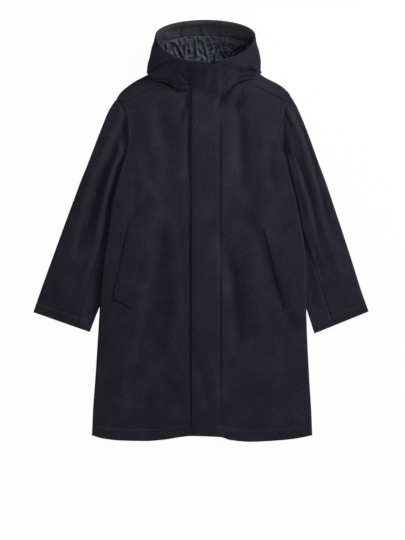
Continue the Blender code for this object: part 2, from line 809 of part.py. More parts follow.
def main():
    for old in list(bpy.data.objects):
        bpy.data.objects.remove(old, do_unlink=True)
    coat = bpy.data.collections.new(OBJECT_NAME)
    bpy.context.scene.collection.children.link(coat)
    wool = material("navy_melton", WOOL, 0.9)
    facing_wool = material("navy_melton_facing", WOOL_DARK, 0.9)
    satin = material("slate_satin", SATIN, 0.35)

    back = [[row[::-1] for row in back_points()]]
    back.append(shoulder_strip("right"))
    back.append(shoulder_strip("left")[::-1])
    sheet("back", back, WALL, wool, coat)
    for side in ("right", "left"):
        front = front_points(side)
        folded = side_wrap(side)
        if side == "right":
            front = [row[::-1] for row in front]
            folded = [row[::-1] for row in folded]
        sheet("front_" + side, [front, folded], WALL, wool, coat)
        sheet("pocket_welt_" + side, [welt_points(side)], WELT_BAND, wool, coat)
        for name in ("top", "under"):
            sheet(f"sleeve_{side}_{name}", [sleeve_points(side, name)], WALL, wool, coat)
    sheet("placket", [placket_points()], BAND, wool, coat)

    facing_levels = [FACING_FROM, 3.5, 4.2, 5]
    lining_levels = [LINING_FROM, 1.6, 2, 2.4, LINING_TO]
    for piece in ("right", "centre", "left"):
        side_name = "hood_centre" if piece == "centre" else "hood_side_" + piece
        gusset = (GUSSET_ANGLE, GUSSET_ANGLE)
        sheet(side_name, [hood_points(piece, HOOD_LEVELS, 0.0, gusset)], WALL, wool, coat)
        band = hood_points(piece, facing_levels, WALL + FACING_GAP, FACING_SEAMS)
        sheet("hood_facing_" + piece, [band], FACING_WALL, facing_wool, coat)
        bag = hood_points(piece, lining_levels, WALL + LINING_GAP, LINING_SEAMS)
        sheet("hood_lining_" + piece, [bag], LINING_WALL, satin, coat)


main()
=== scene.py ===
"""The looks of a hooded wool coat that lies flat on its back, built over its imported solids.

X runs across the coat, +Y from the hem to the hood and +Z up from the floor. "right" and "left" are the
wearer's, so the right side is at -X. Lengths are in millimetres until a mesh is made. Each piece is a fine
sheet through the same tables as its solid, with the folds, seams and stitching pressed into it.
"""

import math
from collections import namedtuple

import bmesh
import bpy
import numpy as np
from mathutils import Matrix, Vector, noise
from mathutils.bvhtree import BVHTree


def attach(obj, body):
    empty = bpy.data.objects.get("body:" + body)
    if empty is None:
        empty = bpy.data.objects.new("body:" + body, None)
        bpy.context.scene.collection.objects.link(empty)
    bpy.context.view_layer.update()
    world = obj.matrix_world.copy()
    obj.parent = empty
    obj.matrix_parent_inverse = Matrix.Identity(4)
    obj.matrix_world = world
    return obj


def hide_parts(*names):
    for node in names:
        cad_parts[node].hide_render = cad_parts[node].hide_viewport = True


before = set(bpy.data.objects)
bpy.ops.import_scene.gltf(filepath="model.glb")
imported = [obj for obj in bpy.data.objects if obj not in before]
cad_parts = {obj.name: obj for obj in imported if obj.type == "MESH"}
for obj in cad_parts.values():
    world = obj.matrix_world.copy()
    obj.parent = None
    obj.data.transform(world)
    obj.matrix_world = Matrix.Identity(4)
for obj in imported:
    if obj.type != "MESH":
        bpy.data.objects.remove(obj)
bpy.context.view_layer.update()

MM = 0.001

# Thicknesses of the cloth, and how the strips lie on the fronts
WALL = 2.0
FACING_WALL = 1.8
LINING_WALL = 0.8
BAND = 3.4  # the placket, two layers pressed together
WELT_BAND = 2.4
LAID_ON = 1.3  # from the fronts up to the placket's underside
WELT_LAID_ON = 0.7

# Seams and turned edges
SEAM = 0.3  # the gap between two pieces that are sewn together
TURN = 2.1  # the radius of a turned-up edge
HEM_DEPTH = 29.0
CUFF_DEPTH = 27.0
BODY_STEP = 5.6  # between the grids' rows
SLEEVE_STEP = 5.2
ARMHOLE_BAND = 7.5  # the seam allowance stitched down beside the armhole
ARMHOLE_STITCH = ARMHOLE_BAND - 1.2
RIM_BAND = 16.5
# Grooves: how far from an edge, the width and the depth
ARMHOLE_GROOVE = (0, 1.0, 1.6)
SHOULDER_GROOVE = (0, 1.2, 2.0)
SLEEVE_SEAM_GROOVE = (0, 1.6, 1.3)
SLEEVE_HEAD_GROOVE = (0, 2.4, 1.2)
HOOD_SEAM_GROOVE = (0, 1.6, 1.0)
RIM_GROOVE = (6.0, 1.0, 1.1)
FACING_SEAM_GROOVE = (0, 1.8, 1.1)
FACING_LOW_GROOVE = (0, 1.3, 1.0)
FACING_BAND_GROOVE = (RIM_BAND, 1.6, 2.6)
LINING_SEAM_GROOVE = (0, 1.8, 1.4)
LINING_TOP_GROOVE = (0, 2.0, 1.0)
STITCH_WIDTH = 0.9
SEAM_STOPS = (0, 0.6, 1.2, 2.0, 3.0, 4.2, 5.6, 6.6, 7.5, 8.4, 10.0)  # the grid's lines beside a seam

# Body
SIDES = ("right", "left")
CENTRE_X = 27.0
PLACKET_X = (-26.0, 0.0, 27.0, 53.0)
HEM_Y = -561.0
HEM_FADE = 140.0
NOTCH_Y = 220.0
LAST_BODY_Y = NOTCH_Y - 2
EDGE_RADIUS = 5.5
NOTCH_RADIUS = 3.1
SIDE_WRAP = 10.0
NOTCH_WRAP = 1.0
NOTCH_RAMP = 65.0
SIDE_FADE = 0.12
BODY_WAVES = ((1.3, 95, 3.1), (0.6, 38, 7.7))  # layers of unevenness: height, size and seed
SLEEVE_WAVES = ((1.0, 60, 11.4), (0.5, 24, 2.2))
FACING_WAVES = ((0.9, 30, 8.8),)
PLACKET_WAVES = ((1.0, 70, 9.1), (0.6, 24, 2.8))
BACK_WAVES = ((1.4, 1.0, 70, 21.3), (0.7, 0.4, 26, 5.9))  # height, share of y, size and seed
LIFT = 7.6  # how far the sleeves raise the body's sides
LIFT_REACH = 28.0
LIFT_RAMP = 36.0
LIFT_RISE = 20.0
LIFT_FROM_Y = -285.0
LIFT_FROM_RAMP = 62.0
FOLD_END = 0.3
SHARP = 32.0  # creases narrower than this are sharp along their bottom
SHARP_POWER = 1.35
CREASE_STARTS = 0.2
CREASE_ENDS = 0.25
CREASE_REACH = 3


def table(kind, *rows):
    return [kind(*row) for row in rows]


Side = namedtuple("Side", "y right left")
SIDE = table(
    Side,
    (-561, -300, 306), (-490, -297, 303), (-410, -291, 298), (-270, -282, 291), (-200, -277.5, 289),
    (-115, -271, 289), (-70, -265.5, 288), (-25, -259, 282), (25, -252, 273), (90, -242, 260),
    (150, -227, 246), (205, -209, 235), (220, -204, 232.5),
)

Hem = namedtuple("Hem", "x y")
HEM = table(
    Hem,
    (-300, -561), (-270, -570), (-220, -575.5), (-154, -577), (-108, -574), (-56, -566), (-26, -563),
    (53, -566), (80, -574), (135, -579), (186, -577), (255, -571), (306, -561),
)

Line = namedtuple("Line", "right_x right_y left_x left_y")
ARMHOLE = table(
    Line,
    (-233, 362, 246, 372), (-219, 349, 238, 353), (-210, 333, 229, 338), (-204.5, 313, 226.5, 320),
    (-202, 284, 227, 290), (-202, 251, 229, 258), (-203, 232, 231, 234), (-204, 221, 232.5, 221),
)
SHOULDER = table(
    Line,
    (-233, 362, 246, 372), (-224, 377, 243, 377.5), (-213.5, 388, 233.5, 388), (-200, 399, 220, 399),
    (-184, 410, 201, 410), (-164, 421, 178.5, 421), (-140, 433, 160, 434),
)
SHOULDER_SEAM = table(
    Line,
    (-219, 349, 237.5, 353), (-164, 380, 188, 380), (-112, 408, 123, 411), (-101, 427.5, 113, 426),
)

Loft = namedtuple("Loft", "y side middle")
LOFT = table(
    Loft,
    (-561, 9.0, 11.5), (-450, 11.0, 16.5), (-200, 11.0, 19.5), (100, 11.0, 20.5), (190, 8.0, 20.5),
    (220, 6.4, 20.5), (245, 9.0, 21.0), (290, 13.0, 21.5), (330, 13.5, 23.0), (375, 12.0, 29.0),
    (394, 12.0, 28.0), (418, 10.5, 24.5), (437, 9.0, 21.0),
)

# How far the neck seam is pulled up at each x: beside the placket on the right, and further along on the left
NECK_PULL_RIGHT = (
    (-150, -132, -118, -105, -88, -72, -56, -42, -28, -8, 24),
    (0, 0, 4, 11, 16, 15, 15, 18, 20, 14, 0),
)
NECK_PULL_LEFT = (
    (24, 45, 66, 80, 96, 115, 125, 135, 148, 162),
    (0, -6, 8, 18, 22, 17.5, 13, 7.5, 0.5, 0),
)

# Lines across the sleeve from the armhole to the cuff, close to the solids' own. Beside the underarm their
# inner ends lie under the body's side, and "seam" keeps the front seam there too.
Sleeve = namedtuple("Sleeve", "outer_x outer_y inner_x inner_y seam bow height")
RIGHT_SLEEVE = table(
    Sleeve,
    (-233, 362, -205.5, 221, 0.985, 1.0, 1.0), (-252.5, 333, -204.5, 201, 0.985, 0.8, 1.0),
    (-276, 278, -204.5, 183, 0.98, 0.45, 1.0), (-297, 223, -203, 155, 0.95, 0.15, 1.0),
    (-312, 183, -178, 112, 0.80, 0.0, 1.0), (-329, 141, -161, 66, 0.66, 0.0, 1.0),
    (-370, 31, -198, -41, 0.615, 0.0, 1.0), (-410, -79, -244, -143, 0.65, 0.0, 1.0),
    (-440, -162, -281, -214, 0.71, 0.0, 0.85), (-461, -223, -305.5, -277.5, 0.763, 0.0, 0.62),
)
LEFT_SLEEVE = table(
    Sleeve,
    (246, 372, 231, 221, 0.985, 1.0, 1.0), (262, 345, 232.0, 201, 0.985, 0.8, 1.0),
    (289, 283, 234.5, 183, 0.98, 0.45, 1.0), (311, 223, 229, 155, 0.95, 0.15, 1.0),
    (325, 183, 200, 112, 0.80, 0.0, 1.0), (341, 141, 185, 66, 0.66, 0.0, 1.0),
    (378, 31, 222, -41, 0.60, 0.0, 1.0), (414, -79, 259, -143, 0.61, 0.0, 1.0),
    (440, -162, 289.5, -214, 0.64, 0.0, 0.85), (461, -221, 311.5, -281.5, 0.647, 0.0, 0.62),
)
CUFF_ROW = 9
SLEEVE_EDGE_RADIUS = 6.0
FLAT_SLEEVE = 6.2
CUFF_FLAT = 8.8
SLEEVE_LOFT = 16.0
SLEEVE_EDGE = {"right": 15.0, "left": 12.0}
SLEEVE_RISE = 0.3
SLEEVE_SLOPE = 13.0
SLOPE_FROM = {"right": 0.45, "left": 0.01}  # the share of the width over which the slope sets in
SLOPE_END = (7, 3.5)  # the row where the slope ends, and over how many it fades
FLAT_FROM = 0.9
FOLD_FADE = 0.2
UNDER_SEAM = 0.25
THINNEST = 4.6
# Where the sleeve starts to rise beside the body, and over how far
VALLEY = {"right": (7.0, 15.0), "left": (-3.0, 7.0)}
VALLEY_WIDER = (13, 14)  # what is added to both towards the cuff
VALLEY_WIDER_FROM = (20, 150)
VALLEY_LOW_Y = -300.0
VALLEY_LOW_RAMP = 70.0
VALLEY_TOP_RAMP = 45.0
ARMHOLE_START = 0.03
# The sleeve's seam allowance: how far under the body's edge, and how deep
ALLOWANCE = np.array([(0.4, 0.5), (1.2, 1.6), (2.2, 2.5), (5.0, 2.8)])

Ring = namedtuple("Ring", "centre half_width front side back power front_z side_z back_z drop")
RINGS = table(
    Ring,
    (12, 149, 375, 439, 424, 2.3, 29, 6, 0, 3.0), (8, 157, 385, 435, 458, 2.3, 36, 22, 0, 1.5),
    (9, 155, 408, 454, 500, 1.6, 48, 38, 3, 1.0), (11, 149, 432, 487, 540, 1.2, 60, 52, 20, 1.0),
    (11, 140.5, 449, 518, 562, 1.05, 71, 64, 36, 1.0), (12, 136, 460, 537, 579, 1.0, 79, 73, 52, 1.0),
)
NECK_PULLS = (1.0, 0.9, 0.45, 0.15)  # how much of the neck's pull each ring takes
NECK_FOLD = (math.radians(62), math.radians(28))
# The hood's roll over the neck seam: the second ring is drawn down, and the cloth swells and overhangs.
# A level is the middle and the width of what lies between the rings.
ROLL = 6.0
ROLL_ANGLE = math.radians(28)
ROLL_WIDTH = math.radians(13)
ROLL_SIZE = {"right": 9.0, "left": 6.5}
ROLL_LEVEL = (0.42, 0.34)
ROLL_ANGLES = (11, 10, 112, 30)  # degrees: where it sets in, over how much, where it ends, over how much
OVERHANG = 6.5
OVERHANG_LEVEL = (0.38, 0.26)
OVERHANG_ANGLES = (8, 10, 75, 25)
NECK_GROOVE = (0, 0.12, 2.0)  # by level, as the next two are
CREASES_END = 4.7
SWELL_END = 4.8
GUSSET = (math.radians(21.5), math.radians(21.5))  # the centre piece's seams, from the back
FACING_SEAMS = (math.radians(27.5), math.radians(16.0))
LINING_SEAMS = (math.radians(17.6), math.radians(20.4))
FACING_FROM = 2.97
LINING_FROM = 1.15
LINING_DEPTH = 6.3
LINING_RELIEF = (-2.4, 4.5)
LINING_RADIUS = 155  # turns an angle into a distance round the hood
RIM_RADIUS = 3.0
RIM_TURN = np.radians(np.arange(15, 91, 15))
RIM_STITCH = 3.0
SHELL_COLUMNS = {"right": 112, "centre": 22, "left": 112}
LINING_COLUMNS = {"right": 190, "centre": 50, "left": 190}

PLACKET_TOP = 4.78  # the level on the hood where the placket ends
PLACKET_EDGE = 4.7  # from its edges to its rows of stitching
PLACKET_SEWN = 7.4
PLACKET_END = 6.0
FRONT_STEPS = 190
WELT_SIZE = (54, 215)
WELT_STITCH = 3.8

Corner = namedtuple("Corner", "x y")
WELTS = {
    "right": (Corner(-196.6, 25), Corner(-147.4, -1), Corner(-243, -186), Corner(-191, -212)),
    "left": (Corner(222, 30), Corner(171.6, 9), Corner(276, -186), Corner(228.5, -214)),
}

# Folds: a line of three places, the height (below zero for a trough) and the half width. The first tables
# are the solids' own, and the others are the smaller folds that lie on them.
Fold = namedtuple("Fold", "x1 y1 x2 y2 x3 y3 height width")
RIGHT_SLEEVE_FOLDS = table(
    Fold,
    (-228, 297, -283, 196, -333, 22, 3.0, 15), (-242, 237, -300, 113, -341, -79, -3.0, 13),
    (-214, 209, -245, 174, -283, 22, 2.5, 13), (-234, 132, -256, 94, -269, 22, -2.0, 11),
)
LEFT_SLEEVE_FOLDS = table(
    Fold,
    (236, 319, 280, 251, 313, 113, 3.0, 15), (277, 284, 308, 168, 343, -24, -2.5, 11),
    (253, 182, 276, 110, 300, 44, 2.5, 12), (267, 190, 294, 105, 322, -33, -2.5, 12),
)
BODY_FOLDS = table(
    Fold,
    (104, 333, 104, 240, 104, 141, -2.5, 24), (184, 223, 184, 170, 184, 113, -2.0, 18),
    (66, 72, 72, -110, 110, -313, -3.5, 26), (-102, -74, -106, -178, -125, -294, -3.5, 26),
    (-91, -294, -70, -230, -52, -162, 2.0, 22),
)

# Creases follow a curve through their places. "one" is the half width on the left of the way that the
# places run, and "other" on its right. A ridge or a wide fold is round, and a narrow fold below zero is
# sharp along its bottom.
Crease = namedtuple("Crease", "height one other places")


def creases(*rows):
    return [Crease(height, one, other, places) for height, one, other, *places in rows]


FRONT_CREASES = creases(
    (-10.0, 21, 16, (98, 380), (103, 310), (106, 250), (108, 200), (112, 140), (112, 80)),
    (-5.5, 20, 14, (182, 260), (189, 210), (194, 160), (202, 90)),
    (3.0, 12, 16, (78, 330), (80, 260), (78, 200), (82, 140)),
    (2.6, 15, 18, (162, 350), (168, 280), (170, 220), (174, 150)),
    (-9.5, 22, 18, (46, 40), (54, -20), (68, -80), (86, -140), (92, -210), (97, -290), (110, -370)),
    (4.0, 22, 24, (136, 20), (140, -60), (148, -150), (158, -240), (168, -330)),
    (-9.5, 26, 18, (-104, 20), (-118, -60), (-130, -130), (-142, -190), (-156, -260), (-168, -330)),
    (4.0, 18, 20, (-58, -110), (-66, -180), (-78, -250), (-110, -340)),
    (-7.0, 26, 18, (-116, 372), (-112, 310), (-104, 260), (-96, 210), (-96, 150), (-104, 80)),
    (-4.8, 18, 12, (-176, 190), (-180, 130), (-186, 70), (-190, 20)),
    (3.0, 16, 16, (-150, 340), (-142, 270), (-134, 190)),
    (-6.0, 2.5, 13, (-38, 390), (-35, 340), (-33, 290), (-31, 240), (-30, 170), (-30, 110)),
    (-2.4, 2.5, 5, (-30, 140), (-30, 20), (-30, -140), (-30, -330), (-30, -500)),
    (3.4, 20, 2.0, (57, 372), (57, 250), (57, 50), (57, -200), (57, -400), (57, -545)),
    (-3.6, 6, 8, (-178, 344), (-184, 318), (-186, 290), (-182, 262)),
    (-3.0, 16, 10, (-66, 130), (-68, 60), (-60, -20), (-64, -90)),
    (-15.0, 5, 7, (34, 330), (50, 362), (67, 385), (83, 401), (102, 414), (124, 423)),
    (-5.0, 3, 4, (62, 366), (74, 382), (88, 398), (98, 406)),
    (4.0, 6, 8, (64, 346), (78, 366), (94, 390), (106, 402)),
    (-3.6, 6, 6, (84, 330), (96, 356), (110, 382), (122, 396)),
    (3.0, 7, 8, (102, 316), (116, 344), (132, 372), (142, 384)),
    (-4.0, 6, 8, (-36, 386), (-42, 368), (-46, 346), (-56, 318), (-60, 280)),
    (2.6, 6, 7, (-34, 340), (-40, 318), (-42, 286)),
    (-9.0, 8, 8, (-30, 391), (-50, 388), (-72, 396), (-88, 410), (-104, 415), (-124, 423)),
    (-2.4, 14, 20, (-136, -380), (-90, -420), (-56, -480), (-50, -530)),
    (2.0, 18, 22, (180, -380), (196, -440), (200, -500), (192, -545)),
    (1.8, 20, 24, (-200, -300), (-216, -380), (-220, -460), (-210, -530)),
    (-3.0, 9, 12, (-14, -340), (-4, -390), (10, -440), (14, -490)),
    (1.8, 9, 10, (20, -330), (30, -380), (36, -430)),
    (-2.0, 12, 12, (236, -240), (226, -320), (232, -400)),
    (-2.2, 10, 12, (-150, -240), (-170, -300), (-176, -370)),
)
SLEEVE_CREASES = {
    "right": creases(
        (-22.5, 22, 5, (-200, 340), (-206, 320), (-214, 297), (-224, 274), (-240, 248), (-254, 216),
         (-269, 183), (-284, 150), (-298, 112), (-309, 74), (-322, 28), (-337, -30), (-352, -90)),
        (2.5, 6, 15, (-206, 372), (-216, 332), (-230, 299), (-250, 260), (-266, 226), (-286, 182),
         (-305, 136), (-318, 90), (-332, 40), (-348, -20)),
        (5.5, 4.5, 9, (-186, 248), (-206, 226), (-222, 213), (-236, 190), (-244, 170), (-253, 139),
         (-264, 103), (-273, 66), (-285, 10), (-295, -40)),
        (-5.0, 8, 7, (-200, 232), (-216, 206), (-230, 176), (-241, 144), (-249, 108), (-259, 70),
         (-272, 14), (-282, -36)),
        (-2.4, 10, 10, (-236, 350), (-248, 312), (-262, 282), (-276, 252), (-292, 214)),
        (1.4, 12, 14, (-312, 110), (-334, 60), (-352, 0), (-368, -60), (-384, -130)),
        (-3.0, 10, 12, (-290, 20), (-304, -40), (-322, -100), (-344, -150)),
        (2.6, 9, 10, (-300, -60), (-318, -110), (-334, -160)),
        (-2.4, 8, 8, (-268, 30), (-284, -30), (-300, -90), (-312, -140)),
    ),
    "left": creases(
        (5.0, 5, 14, (214, 372), (232, 340), (248, 315), (260, 300), (272, 274), (281, 248), (290, 219),
         (301, 178), (315, 130), (328, 80), (340, 30)),
        (-6.8, 8, 4, (236, 346), (256, 316), (268, 294), (277, 272), (287, 244), (297, 212), (308, 176),
         (320, 130), (334, 76), (346, 20), (356, -40)),
        (-5.0, 3, 4, (227, 338), (232, 322), (236, 311), (242, 297), (247, 280)),
        (-7.0, 9, 5, (246, 228), (256, 206), (268, 180), (280, 149), (289, 119), (298, 88), (308, 50),
         (318, 0), (326, -50)),
        (-4.6, 5, 4, (231, 240), (242, 209), (251, 186), (262, 156), (270, 128)),
        (4.5, 5, 8, (248, 204), (262, 168), (274, 132), (284, 98), (296, 50), (308, -6)),
        (2.8, 12, 12, (330, 50), (346, -10), (362, -70), (380, -140)),
        (-3.0, 8, 9, (300, -20), (318, -80), (340, -150)),
        (-2.6, 8, 9, (248, 350), (262, 326), (274, 298), (288, 262)),
    ),
}
HOOD_CREASES = creases(
    (-8.0, 2.6, 8, (-152, 429), (-140, 439), (-127, 449), (-113, 457), (-98, 464), (-84, 468), (-68, 469),
     (-54, 465), (-36, 457)),
    (3.0, 5, 4, (-158, 440), (-138, 453), (-118, 466), (-98, 474), (-80, 477)),
    (2.4, 8, 8, (-140, 430), (-118, 439), (-92, 441), (-72, 438)),
    (4.5, 4, 4.5, (-70, 440), (-62, 424), (-48, 409), (-32, 402), (-26, 400)),
    (3.6, 4, 4, (-68, 441), (-52, 441), (-40, 436), (-28, 431)),
    (-4.4, 3.5, 3.5, (-60, 432), (-50, 421), (-38, 417), (-26, 415)),
    (-4.0, 2.5, 7, (-31, 462), (-30, 445), (-30, 420), (-29, 396)),
    (3.6, 5, 8, (66, 398), (84, 418), (104, 428), (124, 432)),
    (-4.5, 10, 6, (48, 394), (72, 410), (96, 421), (122, 430)),
    (3.0, 8, 8, (60, 428), (84, 440), (108, 448), (126, 450)),
    (2.8, 6, 5, (108, 444), (122, 450), (136, 450), (147, 445), (155, 438)),
    (-4.2, 5, 4, (100, 431), (113, 437), (127, 440), (140, 440), (153, 434)),
    (-3.0, 4, 4, (124, 445), (134, 444), (143, 441), (152, 436)),
    (-2.2, 7, 7, (-12, 436), (2, 418), (8, 396)),
    (-3.0, 7, 8, (40, 450), (31, 428), (26, 406), (22, 384)),
    (2.4, 7, 8, (22, 448), (12, 424), (6, 400)),
)
FACING_CREASES = creases(
    (3.6, 4, 7, (2, 566), (6, 556), (12, 545), (20, 532)),
    (-3.6, 4, 4, (-7, 566), (-4, 554), (1, 544), (6, 530)),
    (-3.0, 5, 5, (-56, 562), (-60, 550), (-62, 536)),
    (2.4, 6, 6, (52, 560), (56, 550), (60, 538)),
    (2.0, 8, 8, (-92, 548), (-98, 540), (-104, 530)),
    (-2.2, 7, 7, (92, 546), (98, 538), (104, 530)),
)

OUTLINES = {"right": RIGHT_SLEEVE, "left": LEFT_SLEEVE}
SOLID_SLEEVE_FOLDS = {"right": RIGHT_SLEEVE_FOLDS, "left": LEFT_SLEEVE_FOLDS}


# ---- curves and fields ----


def tangents(slope):
    """Slopes at each key, kept low enough that the curve has no overshoot."""
    a, b = slope[:-1], slope[1:]
    same_way = a * b > 0
    inner = np.where(same_way, 2 * a * b / np.where(same_way, a + b, 1), 0)
    return np.concatenate([slope[:1], inner, slope[-1:]])


def cubic(start, end, leaving, arriving, t):
    return (
        start * (2 * t**3 - 3 * t**2 + 1)
        + leaving * (t**3 - 2 * t**2 + t)
        + end * (3 * t**2 - 2 * t**3)
        + arriving * (t**3 - t**2)
    )


def smooth(keys, values, at):
    """A smooth curve through values, with no overshoot, read at many places."""
    keys, values = np.asarray(keys, float), np.asarray(values, float)
    at = np.clip(at, keys[0], keys[-1])
    step = np.diff(keys)
    tangent = tangents(np.diff(values) / step)
    i = np.clip(np.searchsorted(keys, at, side="right") - 1, 0, len(keys) - 2)
    t = (at - keys[i]) / step[i]
    return cubic(values[i], values[i + 1], tangent[i] * step[i], tangent[i + 1] * step[i], t)


def column(rows, name):
    return [getattr(row, name) for row in rows]


def read(rows, key, name, at):
    return smooth(column(rows, key), column(rows, name), at)


def down_rows(rows, name, at):
    """A table's column, read at row numbers."""
    return smooth(range(len(rows)), column(rows, name), at)


def place(rows, side, t):
    """Points along a table of places, t from 0 to 1."""
    at = np.asarray(t, float) * (len(rows) - 1)
    return tuple(down_rows(rows, side + axis, at) for axis in ("_x", "_y"))


def mix(a, b, t):
    return a + (b - a) * t


def ease(t):
    t = np.clip(t, 0.0, 1.0)
    return t * t * (3 - 2 * t)


def sign(side):
    return -1 if side == "right" else 1


def together(x, y):
    return np.broadcast_arrays(np.asarray(x, float), np.asarray(y, float))


def stops(lengths, count, near=(0,), far=(0,)):
    """Shares of each length: fixed distances from both ends, and even steps between them."""
    lengths = np.atleast_1d(lengths)[:, None]
    start = np.array(near)[None, :] / lengths
    end = 1 - np.array(far[::-1])[None, :] / lengths
    inner = np.linspace(0, 1, count + 1)[1:-1][None, :]
    return np.hstack([start, mix(start[:, -1:], end[:, :1], inner), end])


def nearest(xs, ys, shares, x, y):
    """The distance from a line of points, the share along it, and the side of it (above zero on its left)."""
    away, along, side = np.full(x.shape, 1e9), np.zeros(x.shape), np.zeros(x.shape)
    for n in range(len(xs) - 1):
        dx, dy = xs[n + 1] - xs[n], ys[n + 1] - ys[n]
        to_x, to_y = x - xs[n], y - ys[n]
        t = np.clip((to_x * dx + to_y * dy) / (dx * dx + dy * dy), 0, 1)
        d = np.hypot(to_x - t * dx, to_y - t * dy)
        closer = d < away
        along = np.where(closer, mix(shares[n], shares[n + 1], t), along)
        side = np.where(closer, dx * to_y - dy * to_x, side)
        away = np.minimum(away, d)
    return away, along, side


def straight_fold(folds, x, y):
    """What a solid's folds add to the height: each runs along two straight lines."""
    x, y = together(x, y)
    total = np.zeros(x.shape)
    for f in folds:
        away, along, _ = nearest((f.x1, f.x2, f.x3), (f.y1, f.y2, f.y3), (0, 0.5, 1), x, y)
        taper = ease(along / FOLD_END) * ease((1 - along) / FOLD_END)
        total += f.height * np.exp(-((away / f.width) ** 2)) * taper
    return total


def crease_height(creases, x, y):
    """What the creases add to the height."""
    x, y = together(x, y)
    total = np.zeros(x.shape)
    for crease in creases:
        line = np.array(crease.places, float)
        keys = np.arange(len(line))
        fine = np.linspace(0, len(line) - 1, 5 * (len(line) - 1) + 1)
        xs, ys = smooth(keys, line[:, 0], fine), smooth(keys, line[:, 1], fine)
        length = np.hypot(np.diff(xs), np.diff(ys))
        shares = np.concatenate([[0], np.cumsum(length)]) / length.sum()
        reach = CREASE_REACH * max(crease.one, crease.other)
        near = (x > xs.min() - reach) & (x < xs.max() + reach)
        near &= (y > ys.min() - reach) & (y < ys.max() + reach)
        away, along, side = nearest(xs, ys, shares, x[near], y[near])
        width = np.where(side > 0, crease.one, crease.other)
        is_sharp = crease.height < 0 and crease.one + crease.other < SHARP
        shape = np.exp(-((away / width) ** (SHARP_POWER if is_sharp else 2)))
        total[near] += crease.height * shape * ease(along / CREASE_STARTS) * ease((1 - along) / CREASE_ENDS)
    return total


def unevenness(x, y, size, seed):
    x, y = together(x, y)
    flat = zip((x / size).ravel(), (y / size).ravel())
    return np.array([noise.noise(Vector((a, b, seed))) for a, b in flat]).reshape(x.shape)


def waves(x, y, layers):
    return sum(height * unevenness(x, y, size, seed) for height, size, seed in layers)


def bell(value, middle, width):
    return np.exp(-(((value - middle) / width) ** 2))


def groove(distance, at, width, depth):
    return -depth * bell(distance, at, width)


def run(points, axis):
    """Distance along a grid's rows (axis 0) or columns (axis 1) from its first point."""
    steps = np.linalg.norm(np.diff(points, axis=axis), axis=-1)
    start = np.zeros_like(np.take(steps, [0], axis=axis))
    return np.concatenate([start, np.cumsum(steps, axis=axis)], axis=axis)


def edge_runs(points):
    """Distances of each grid point from the first and last row and the first and last column."""
    down, across = run(points, 0), run(points, 1)
    return down, down[-1:] - down, across, across[:, -1:] - across


def unit(v):
    return v / np.maximum(np.linalg.norm(v, axis=-1, keepdims=True), 1e-9)


def normals(points):
    return unit(np.cross(np.gradient(points, axis=1), np.gradient(points, axis=0)))


def with_height(plan, z):
    """Points from places in the plane and their heights."""
    return np.concatenate([plan, np.broadcast_to(z, plan.shape[:-1])[..., None]], -1)


def fold_over(crest, out, radius, low, top, depth, degrees):
    """Points round a folded edge that goes out from its crest line, between the heights low and top."""
    angle = np.radians(degrees)[None, :]
    plan = crest + out * ((radius - depth) * np.cos(angle))[..., None]
    return with_height(plan, (top + low) / 2 + np.maximum((top - low) / 2 - depth, 0.05) * np.sin(angle))


def faced(points, side):
    """Turns a left piece's grid round, so that its faces look out of the cloth."""
    return points if side == "right" else points[:, ::-1]


# ---- body ----


def outline_x(side, y):
    """The body's own outline, without the sleeve."""
    low = read(SIDE, "y", side, y)
    armhole = read(ARMHOLE[::-1], side + "_y", side + "_x", y)
    shoulder = read(SHOULDER, side + "_y", side + "_x", y)
    return np.where(y <= NOTCH_Y, low, np.where(y <= getattr(ARMHOLE[0], side + "_y"), armhole, shoulder))


def lift(side, x, y):
    """How high the body's underside lies, where a sleeve lies under it."""
    fold_x = read(OUTLINES[side][:1:-1], "inner_y", "inner_x", y)
    inside = (fold_x - x) * sign(side)
    across = ease(1 - (inside - LIFT_REACH) / LIFT_RAMP)
    along = ease((LAST_BODY_Y - y) / LIFT_RISE) * ease((y - LIFT_FROM_Y) / LIFT_FROM_RAMP)
    return LIFT * across * along


def front_height(side, x, y):
    """The height of the body's top side."""
    u = np.clip((x - CENTRE_X) / (outline_x(side, y) - CENTRE_X), 0, 1)
    edge, middle = read(LOFT, "y", "side", y), read(LOFT, "y", "middle", y)
    height = edge + (middle - edge) * (1 - u**3)
    fine = crease_height(FRONT_CREASES, x, y)
    fine += waves(x, y, BODY_WAVES)
    return lift(side, x, y) + height + straight_fold(BODY_FOLDS, x, y) + fine * ease((1 - u) / SIDE_FADE)


def near_notch(y):
    return ease(1 - (NOTCH_Y - y) / NOTCH_RAMP)


def edge_radius(y):
    return mix(EDGE_RADIUS, NOTCH_RADIUS, near_notch(y))


def wrap(y):
    return mix(SIDE_WRAP, NOTCH_WRAP, near_notch(y))


def hem_y(x, y):
    """Rows near the hem follow its sagging edge."""
    return y + (read(HEM, "x", "y", x) - HEM_Y) * ease(1 - (y - HEM_Y) / HEM_FADE)


def crest_x(side, y):
    return outline_x(side, y) - sign(side) * edge_radius(y)


def neck_pull(x):
    return smooth(*NECK_PULL_RIGHT, x) + smooth(*NECK_PULL_LEFT, x)


def neck_y(x):
    ring = RINGS[0]
    across = (x - ring.centre) / ring.half_width
    return ring.side - (ring.side - ring.front) * (1 - across * across) ** (ring.power / 2) + neck_pull(x)


